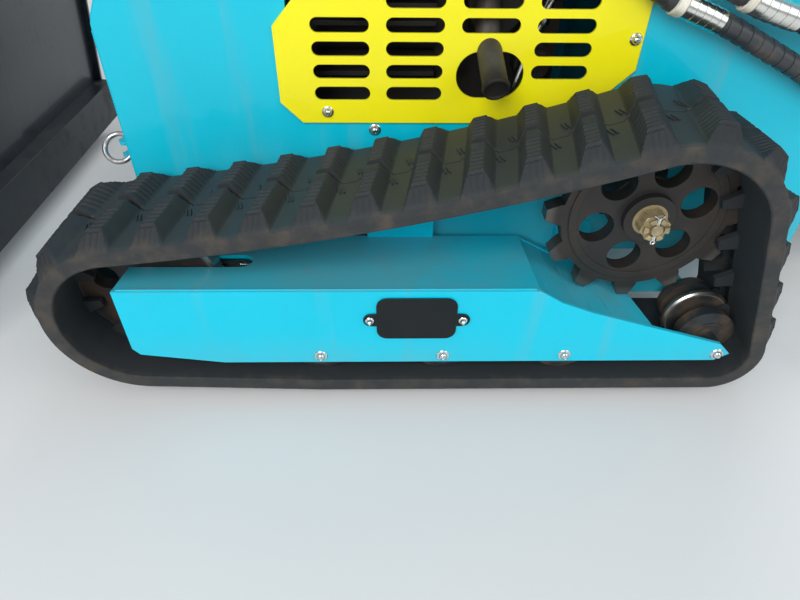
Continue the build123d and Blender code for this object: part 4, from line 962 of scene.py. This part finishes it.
belt_rubber = rubber.done(
    rubber_tone, 0.6 + dirt_share * 0.35 + rubber_grain * 0.1 - valley * 0.08,
    bumps=[(rubber_grain, 0.18, 0.0006), (rubber_mud, 0.3, 0.0012)], gloss=0.35)
belts = piece("tread_belt", "chassis", belt_rubber, belt, angle=28, mirrored="chassis")
wear("track_left", "track_right", finish=belt_rubber)
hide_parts("track_left")
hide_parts("track_right")

# Loader arms and cylinders: the arms are boxes in the hull's teal on zinc plated pins, the barrels are
# black with ports and a steel line between them, and the rods are hard chrome.
teal_arm = enamel("teal_arm", teal, primer, dirt=0.45, low=0.3, high=0.6)
wear("loader_arms", finish=teal_arm)
wear("pivot_pins", finish=bright_bolts)
ram_black = enamel("cylinder_black", (0.018, 0.02, 0.023, 1), (0.25, 0.22, 0.19, 1), dirt=0.6, low=0.4,
                   high=0.8, grime=(0.16, 0.13, 0.1, 1))
wear("lift_cylinder_left", "lift_cylinder_right", "tilt_cylinder", finish=ram_black)
chrome = Finish("hard_chrome")
chrome_mark = chrome.noise(50, 4, 0.6)
hard_chrome = chrome.done(chrome.mix(chrome_mark, (0.86, 0.87, 0.88, 1), (0.7, 0.71, 0.72, 1)),
                          0.05 + chrome_mark * 0.07, metal=1.0, bumps=[(chrome_mark, 0.03, 0.0003)])
wear("lift_rod_left", "lift_rod_right", "tilt_rod", finish=hard_chrome)


def arm_pins(shape):
    """Hexagon heads on the arm's pivot pin and the lift cylinder's pin."""
    hexagon_bolt(shape, at(-190, 389.2, 950), (0, 1, 0), 24, 12)
    hexagon_bolt(shape, at(-130, 381, 760), (0, 1, 0), 17, 8)


def port_lines(shape):
    """Two ports on the lift barrel and the line between them: along, aside and up from its pin, in mm."""
    start, heading = at(-130, 353, 760), Vector((650, 0, 3)).normalized()
    port = [(0, -4), (9, -4), (9, 12), (7.5, 13), (7.5, 18), (0, 18)]
    for along in (60, 395):
        spun(shape, start + heading * (along / 1000) + Vector((0, 0.031, 0)), (0, 0.3, 1), port, 20)
    path = ((395, 36, 16), (370, 40, 30), (330, 40, 34), (120, 40, 34), (85, 40, 30), (62, 36, 16))
    line = [start + heading * (along / 1000) + Vector((0, aside, up)) / 1000 for along, aside, up in path]
    tube(shape, line, 4.5, 12)


def tilt_ports(shape):
    """The same on top of the tilt barrel: along it and up from its pin, in mm."""
    start, heading, above = Vector((0.453, 0, 0.825)), Vector((0.899, 0, -0.438)), Vector((0.438, 0, 0.899))
    port = [(0, 0), (10, 0), (10, 9), (8, 10), (8, 11), (9.4, 12), (9.4, 20), (7.5, 21), (0, 21)]
    for along in (52, 262):
        spun(shape, start + heading * (along / 1000) + above * 0.024, above, port, 24)
    path = ((262, 40), (245, 52), (225, 55), (90, 55), (70, 52), (52, 40))
    tube(shape, [start + (heading * along + above * up) / 1000 for along, up in path], 4.0, 12)


piece("tilt_ports", "tilt_barrel", bright_bolts, tilt_ports)
piece("arm_pins", "chassis", bright_bolts, arm_pins, mirrored="chassis")
piece("port_lines", "lift_barrel_left", bright_bolts, port_lines, mirrored="lift_barrel_right")

# Bucket and quick attach: glossy black paint, scratched and worn in streaks low down, with some rust and
# dust on it. The cutting edge is thick wear steel, dark and scuffed.
scoop = Finish("bucket_black")
scoop_fine = scoop.noise(90, 6, 0.7)
scoop_broad = scoop.noise(5, 5)
scoop_lines = scoop.noise(26, 5, 0.65, (1, 1, 0.12))
scoop_low = 1.0 - scoop.z.band(0.06, 0.34)
scoop_rust = (scoop_broad.band(0.52, 0.72) * scoop_fine.band(0.4, 0.7)).low(0.6)
scoop_wear = (scoop_lines.band(0.55, 0.72) * scoop_low).low(0.7)
scoop_dust = scoop_fine.band(0.45, 0.85) * scoop_broad.band(0.3, 0.6) * 0.5
scoop_tone = scoop.mix(scoop_dust * 0.4, (0.012, 0.02, 0.028, 1), (0.1, 0.095, 0.09, 1))
scoop_tone = scoop.mix(scoop_rust * 0.12, scoop_tone, (0.13, 0.08, 0.05, 1))
scoop_tone = scoop.mix(scoop_wear * 0.3, scoop_tone, (0.16, 0.155, 0.15, 1))
bucket_black = scoop.done(
    scoop_tone, 0.32 + scoop_dust * 0.4 + scoop_rust * 0.2, metal=scoop_wear * 0.3, coat=0.3, edge=0.0016,
    bumps=[(scoop_fine, 0.2, 0.0007), (scoop_lines, 0.2, 0.0006)])
wear("bucket", "quick_attach", finish=bucket_black)
blade = Finish("edge_steel")
blade_lines = blade.noise(40, 5, 0.65, (1, 0.1, 1))
blade_rust = blade.noise(19, 6, 0.65).band(0.45, 0.68)
edge_steel = blade.done(blade.mix(blade_rust * 0.5, (0.016, 0.024, 0.032, 1), (0.075, 0.07, 0.065, 1)),
                        0.34 + blade_rust * 0.3, metal=0.3, edge=0.0016,
                        bumps=[(blade_lines, 0.35, 0.0008)])
wear("bucket_edge", finish=edge_steel)

# Thigh pad: a foam cushion in grained black vinyl against the bulkhead. Piping runs round its seam, and
# two channels are sewn down its front in thick thread.
vinyl = Finish("pad_vinyl")
vinyl_grain = vinyl.cells(900)
vinyl_dust = vinyl.noise(16, 4).band(0.45, 0.75)
pad_vinyl = vinyl.done(vinyl.mix(vinyl_dust * 0.3, (0.02, 0.02, 0.022, 1), (0.1, 0.085, 0.07, 1)),
                       0.48 + vinyl_dust * 0.2, bumps=[(vinyl_grain, 0.25, 0.0004)])
wear("thigh_pad", finish=pad_vinyl)
pad_low, pad_high = [corner * 1000 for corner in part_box("thigh_pad")]
channels = (-70, 70)


def pad_outline(inset, corner):
    """The pad's rounded outline in y and z, in mm, going once round."""
    middle = (pad_low.z + pad_high.z) / 2
    half_up = (pad_high.z - pad_low.z) / 2 - inset - corner
    return [(y, middle + z) for y, z in rounded(pad_high.y - inset - corner, half_up, corner, 8)]


def pad_block(shape):
    """A slightly smaller block with a drawn-in front, which the cloth pass blows up."""
    last = None
    for x, inset, corner in ((pad_high.x - 0.5, 6, 34), (pad_low.x + 14, 5, 35), (pad_low.x + 6, 12, 34)):
        ring = [shape.verts.new((x / 1000, y / 1000, z / 1000)) for y, z in pad_outline(inset, corner)]
        if last:
            join(shape, last, ring)
        else:
            shape.faces.new(ring)
        last = ring
    shape.faces.new(last)


def settle(item, cap):
    """Remeshes a pad evenly, inflates it as cloth and keeps each point within the cap of where it was."""
    frames = 20
    even = item.modifiers.new("even", "REMESH")
    even.mode = "VOXEL"
    even.voxel_size = 0.005
    item.data = bpy.data.meshes.new_from_object(item.evaluated_get(bpy.context.evaluated_depsgraph_get()))
    item.modifiers.clear()
    cloth = item.modifiers.new("cloth", "CLOTH")
    cloth.settings.use_pressure = True
    cloth.settings.uniform_pressure_force = 4
    cloth.settings.effector_weights.gravity = 0
    cloth.point_cache.frame_start = 1
    cloth.point_cache.frame_end = frames
    for number in range(1, frames + 1):
        bpy.context.scene.frame_set(number)
    puffed = bpy.data.meshes.new_from_object(item.evaluated_get(bpy.context.evaluated_depsgraph_get()))
    moved = [point.co.copy() for point in puffed.vertices]
    item.modifiers.clear()
    bpy.context.scene.frame_set(1)
    for point, to in zip(item.data.vertices, moved):
        step = to - point.co
        if step.length > cap:
            step = step.normalized() * cap
        point.co += step


def sewn(item):
    """Keeps the pad's back flat on the bulkhead and draws in its two sewn channels."""
    for point in item.data.vertices:
        x, y = point.co.x * 1000, point.co.y * 1000
        if x < pad_low.x + 22:
            x += 6.5 * sum(math.exp(-((y - line) / 5.5) ** 2) for line in channels)
        point.co.x = min(max(x, pad_low.x + 0.2), pad_high.x - 0.3) / 1000
        point.co.y = min(max(y, pad_low.y + 0.5), pad_high.y - 0.5) / 1000
        point.co.z = min(max(point.co.z * 1000, pad_low.z + 0.5), pad_high.z - 0.5) / 1000


def piping(shape):
    seam_x = pad_low.x + 11
    points = [Vector((seam_x, y, z)) / 1000 for y, z in pad_outline(3.2, 37)]
    tube(shape, points + points[:1], 2.6, 10, closed_ends=False)


def channel_threads(shape):
    """Stitches 7.6 mm apart down both channels, each dipping in at its ends."""
    x = pad_low.x + 6.2
    for line in channels:
        for k in range(17):
            z = pad_low.z + 13 + 7.6 * k
            stitch = ((x + 1, z), (x, z + 1), (x, z + 4.2), (x + 1, z + 5.2))
            tube(shape, [Vector((deep, line, high)) / 1000 for deep, high in stitch], 0.6, 6)


pad = piece("thigh_cushion", "chassis", pad_vinyl, pad_block, angle=60)[0]
settle(pad, 0.008)
sewn(pad)
pad.data.polygons.foreach_set("use_smooth", [True] * len(pad.data.polygons))
softer = pad.modifiers.new("finer", "SUBSURF")
softer.levels = softer.render_levels = 1
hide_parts("thigh_pad")
piece("pad_piping", "chassis", pad_vinyl, piping, angle=60)
piece("pad_threads", "chassis", pad_vinyl, channel_threads)

# Console, levers and platform: black painted sheet and tube round the operator's place, with grained
# plastic levers in rubber boots, a gauge, a key, four switches, and pressed studs on the platform.
black_shell = enamel("console_black", (0.02, 0.021, 0.023, 1), (0.2, 0.2, 0.2, 1), dirt=0.4, low=0.1,
                     high=0.3, grime=(0.2, 0.17, 0.13, 1))
wear("console", "handrail", "platform", "platform_bracket", finish=black_shell)
knob = Finish("lever_plastic")
knob_grain = knob.noise(260, 3)
lever_plastic = knob.done(knob.mix(knob_grain, (0.016, 0.016, 0.018, 1), (0.03, 0.03, 0.032, 1)),
                          0.34 + knob_grain * 0.12, bumps=[(knob_grain, 0.08, 0.0003)])
wear("control_levers", finish=lever_plastic)
console_front, console_high, console_fall, console_deep = -140, 1120, 60, 190
console_up, console_run = Vector((-0.301, 0, 0.954)), Vector((0.954, 0, 0.301))


def console_spot(x, y):
    """A point on the console's sloping top, x mm ahead of the sprocket's axis."""
    return at(x, y, console_high - console_fall * (console_front - x) / console_deep)


def lever_boots(shape):
    """Folded rubber boots round the feet of the four levers."""
    folds = [(20, -8), (20.5, 2), (16, 5), (18, 8.5), (13, 12), (15, 15.5), (10, 19), (12, 22.5), (7.4, 26),
             (5.6, 28)]
    for y in (-110, -60, 60, 110):
        spun(shape, console_spot(-220, y), (0, 0, 1), folds, 32)


def console_fittings(shape):
    """The gauge's bezel, the key in its lock, and two switches on each side."""
    bezel = [(0, -3), (26, -3), (26, 4), (24, 6.5), (22, 6.5), (21, 4.5), (0, 4.5)]
    lock = [(0, -3), (14, -3), (14, 4), (12, 6), (0, 6)]
    spun(shape, console_spot(-190, 0), console_up, bezel, 48)
    spun(shape, console_spot(-255, 0), console_up, lock, 32)
    key = [console_spot(x, -1.2) + console_up * up
           for x, up in ((-262, 0.005), (-248, 0.005), (-248, 0.024), (-262, 0.024))]
    slab(shape, key, Vector((0, 0.0024, 0)))
    aside = Vector((0, 0.009, 0))
    for y in (-188, -162, 162, 188):
        foot = console_spot(-222, y) - console_up * 0.002
        slab(shape, [foot + console_run * (0.014 * ahead) + aside * way
                     for ahead, way in ((1, 1), (1, -1), (-1, -1), (-1, 1))], console_up * 0.007)


def platform_studs(shape):
    """Hollow studs in rows between the platform's slots."""
    stud = [(7.5, -0.6), (7.5, 0.4), (5.5, 3.0), (3.2, 3.2), (2.8, 1.2), (0, 1.2)]
    for x in (-26, 26, -78, 78):
        for y in (-132, -44, 44, 132):
            spun(shape, Vector((-948.5 + x, y, 211)) / 1000, (0, 0, 1), stud, 24)


piece("lever_boots", "chassis", lever_plastic, lever_boots, angle=50)
piece("console_fittings", "chassis", lever_plastic, console_fittings, rounding=0.6)
piece("platform_studs", "platform", black_shell, platform_studs)

# Hood handle and headlamps: a bent plastic grip on two feet, and clear lenses with upright ribs in dark
# bezels on the sloping nose.
lens = Finish("lamp_lens")
lens_ribs = (lens.y * 1400).sine()
lamp_lens = lens.done(lens.mix(lens_ribs * 0.5 + 0.5, (0.78, 0.82, 0.84, 1), (0.6, 0.64, 0.67, 1)), 0.08,
                      coat=0.8, bumps=[(lens_ribs, 0.5, 0.0012)])
wear("headlamps", finish=lamp_lens)


def hood_handle(shape):
    foot = [(12, -0.5), (12, 3), (9, 5), (5, 5)]
    for y in (-60, 60):
        spun(shape, at(540, y, 873), (0, 0, 1), foot, 28)
    bend = ((60, 876), (60, 892), (57, 899), (50, 902))
    grip = [at(540, -y, z) for y, z in bend] + [at(540, y, z) for y, z in reversed(bend)]
    tube(shape, grip, 5.0, 14)


def lamp_bezels(shape):
    """A bar round each lens, in the plane of the sloping nose."""
    up_nose = Vector((-0.4485, 0, 0.8935))
    for side in (1, -1):
        middle = Vector((0.271, side * 0.19, 0.70345))
        points = [middle + Vector((0, y / 1000, 0)) + up_nose * (z / 1000)
                  for y, z in rounded(35, 15, 19.5, 6)]
        tube(shape, points + points[:1], 3.4, 10, closed_ends=False)


piece("hood_handle", "hood", lever_plastic, hood_handle, angle=50)
piece("lamp_bezels", "chassis", lever_plastic, lamp_bezels, angle=60)

# Tie-down rings: forged steel with light rust, in brackets welded to the front corners of the hull. The
# rings lean outwards, so they stand for the CAD's upright ones.
ring = Finish("forged_ring")
ring_rust = ring.noise(60, 5).band(0.45, 0.7)
forged_ring = ring.done(ring.mix(ring_rust * 0.6, (0.5, 0.52, 0.53, 1), (0.22, 0.14, 0.09, 1)),
                        0.28 + ring_rust * 0.35, metal=0.95 - ring_rust * 0.5,
                        bumps=[(ring.noise(200, 4), 0.2, 0.0004)])
wear("tie_down_rings", finish=forged_ring)


def ring_brackets(shape):
    plate = ((764, 279), (764, 301), (778, 301), (784, 290), (778, 279))
    for z in (314, 336):
        slab(shape, [at(x, y, z) for x, y in plate], Vector((0, 0, 0.005)))


def leaning_rings(shape):
    """Each ring hangs through its bracket and leans outwards and up."""
    middle, radius, steps = at(787, 290, 327), 0.022, 48
    lean = Matrix.Rotation(math.radians(-48), 3, Vector((1, 0, 0)))
    points = []
    for k in range(steps + 1):
        angle = 2 * math.pi * k / steps
        points.append(middle + lean @ Vector((radius * math.cos(angle), radius * math.sin(angle), 0)))
    tube(shape, points, 4.0, 12, closed_ends=False)


rings = piece("leaning_rings", "chassis", forged_ring, leaning_rings, mirrored="chassis")
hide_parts("tie_down_rings")
piece("ring_brackets", "chassis", teal_hull, ring_brackets, mirrored="chassis")

# Studio: the photo's camera, close above the left track and looking down at it, over a pale floor with
# soft daylight from above and behind the camera.
right = Vector((-0.99981, 0.01688, 0.01040))
down = Vector((0.00295, 0.64529, -0.76388))
ahead_of_eye = Vector((-0.0196, -0.7637, -0.6452))
eye = Vector((sprocket_x / 1000 + 0.3705, 1.1496, 0.7425))
view = bpy.data.cameras.new("photo_camera")
view.lens = 26.6
view.sensor_width = 36
view.clip_start = 0.02
camera = bpy.data.objects.new("photo_camera", view)
turn = Matrix((right, -down, -ahead_of_eye)).transposed()
camera.matrix_world = Matrix.Translation(eye) @ turn.to_4x4()
bpy.context.scene.collection.objects.link(camera)
bpy.context.scene.camera = camera

ground = Finish("studio_floor")
ground_tone = ground.noise(2, 3)
floor_finish = ground.done(ground.mix(ground_tone, (0.84, 0.84, 0.83, 1), (0.8, 0.8, 0.79, 1)), 0.8)
floor_mesh = bpy.data.meshes.new("studio_floor")
wide, low = 30.0, -0.001
floor_mesh.from_pydata([(-wide, -wide, low), (wide, -wide, low), (wide, wide, low), (-wide, wide, low)],
                       [], [(0, 1, 2, 3)])
floor_mesh.materials.append(floor_finish)
floor = bpy.data.objects.new("studio_floor", floor_mesh)
bpy.context.scene.collection.objects.link(floor)


def softbox(name, spot, target, size, power, tint=(1, 1, 1)):
    """A rectangular lamp at one point, turned to shine at another."""
    lamp = bpy.data.lights.new(name, "AREA")
    lamp.shape = "RECTANGLE"
    lamp.size, lamp.size_y = size
    lamp.energy = power
    lamp.color = tint
    item = bpy.data.objects.new(name, lamp)
    turned = (Vector(spot) - Vector(target)).to_track_quat("Z", "Y")
    item.matrix_world = Matrix.Translation(spot) @ turned.to_matrix().to_4x4()
    bpy.context.scene.collection.objects.link(item)


softbox("key", (1.3, 3.9, 3.1), (0, 0.3, 0.3), (2.4, 2.4), 150)
softbox("fill", (-3.4, 3.0, 2.6), (0, 0.2, 0.4), (3.0, 3.0), 50, (0.93, 0.97, 1))
softbox("back", (-1.5, -3.6, 3.6), (0, 0, 0.5), (3.0, 2.0), 110)
world = bpy.data.worlds.new("studio")
world.use_nodes = True
backdrop = world.node_tree.nodes["Background"]
backdrop.inputs["Color"].default_value = (0.9, 0.94, 1, 1)
backdrop.inputs["Strength"].default_value = 0.4
pale = world.node_tree.nodes.new("ShaderNodeBackground")
pale.inputs["Color"].default_value = (0.86, 0.88, 0.9, 1)
seen = world.node_tree.nodes.new("ShaderNodeLightPath")
either = world.node_tree.nodes.new("ShaderNodeMixShader")
links = world.node_tree.links
links.new(seen.outputs["Is Camera Ray"], either.inputs[0])
links.new(backdrop.outputs[0], either.inputs[1])
links.new(pale.outputs[0], either.inputs[2])
links.new(either.outputs[0], world.node_tree.nodes["World Output"].inputs["Surface"])
bpy.context.scene.world = world
bpy.context.scene.view_settings.view_transform = "Standard"
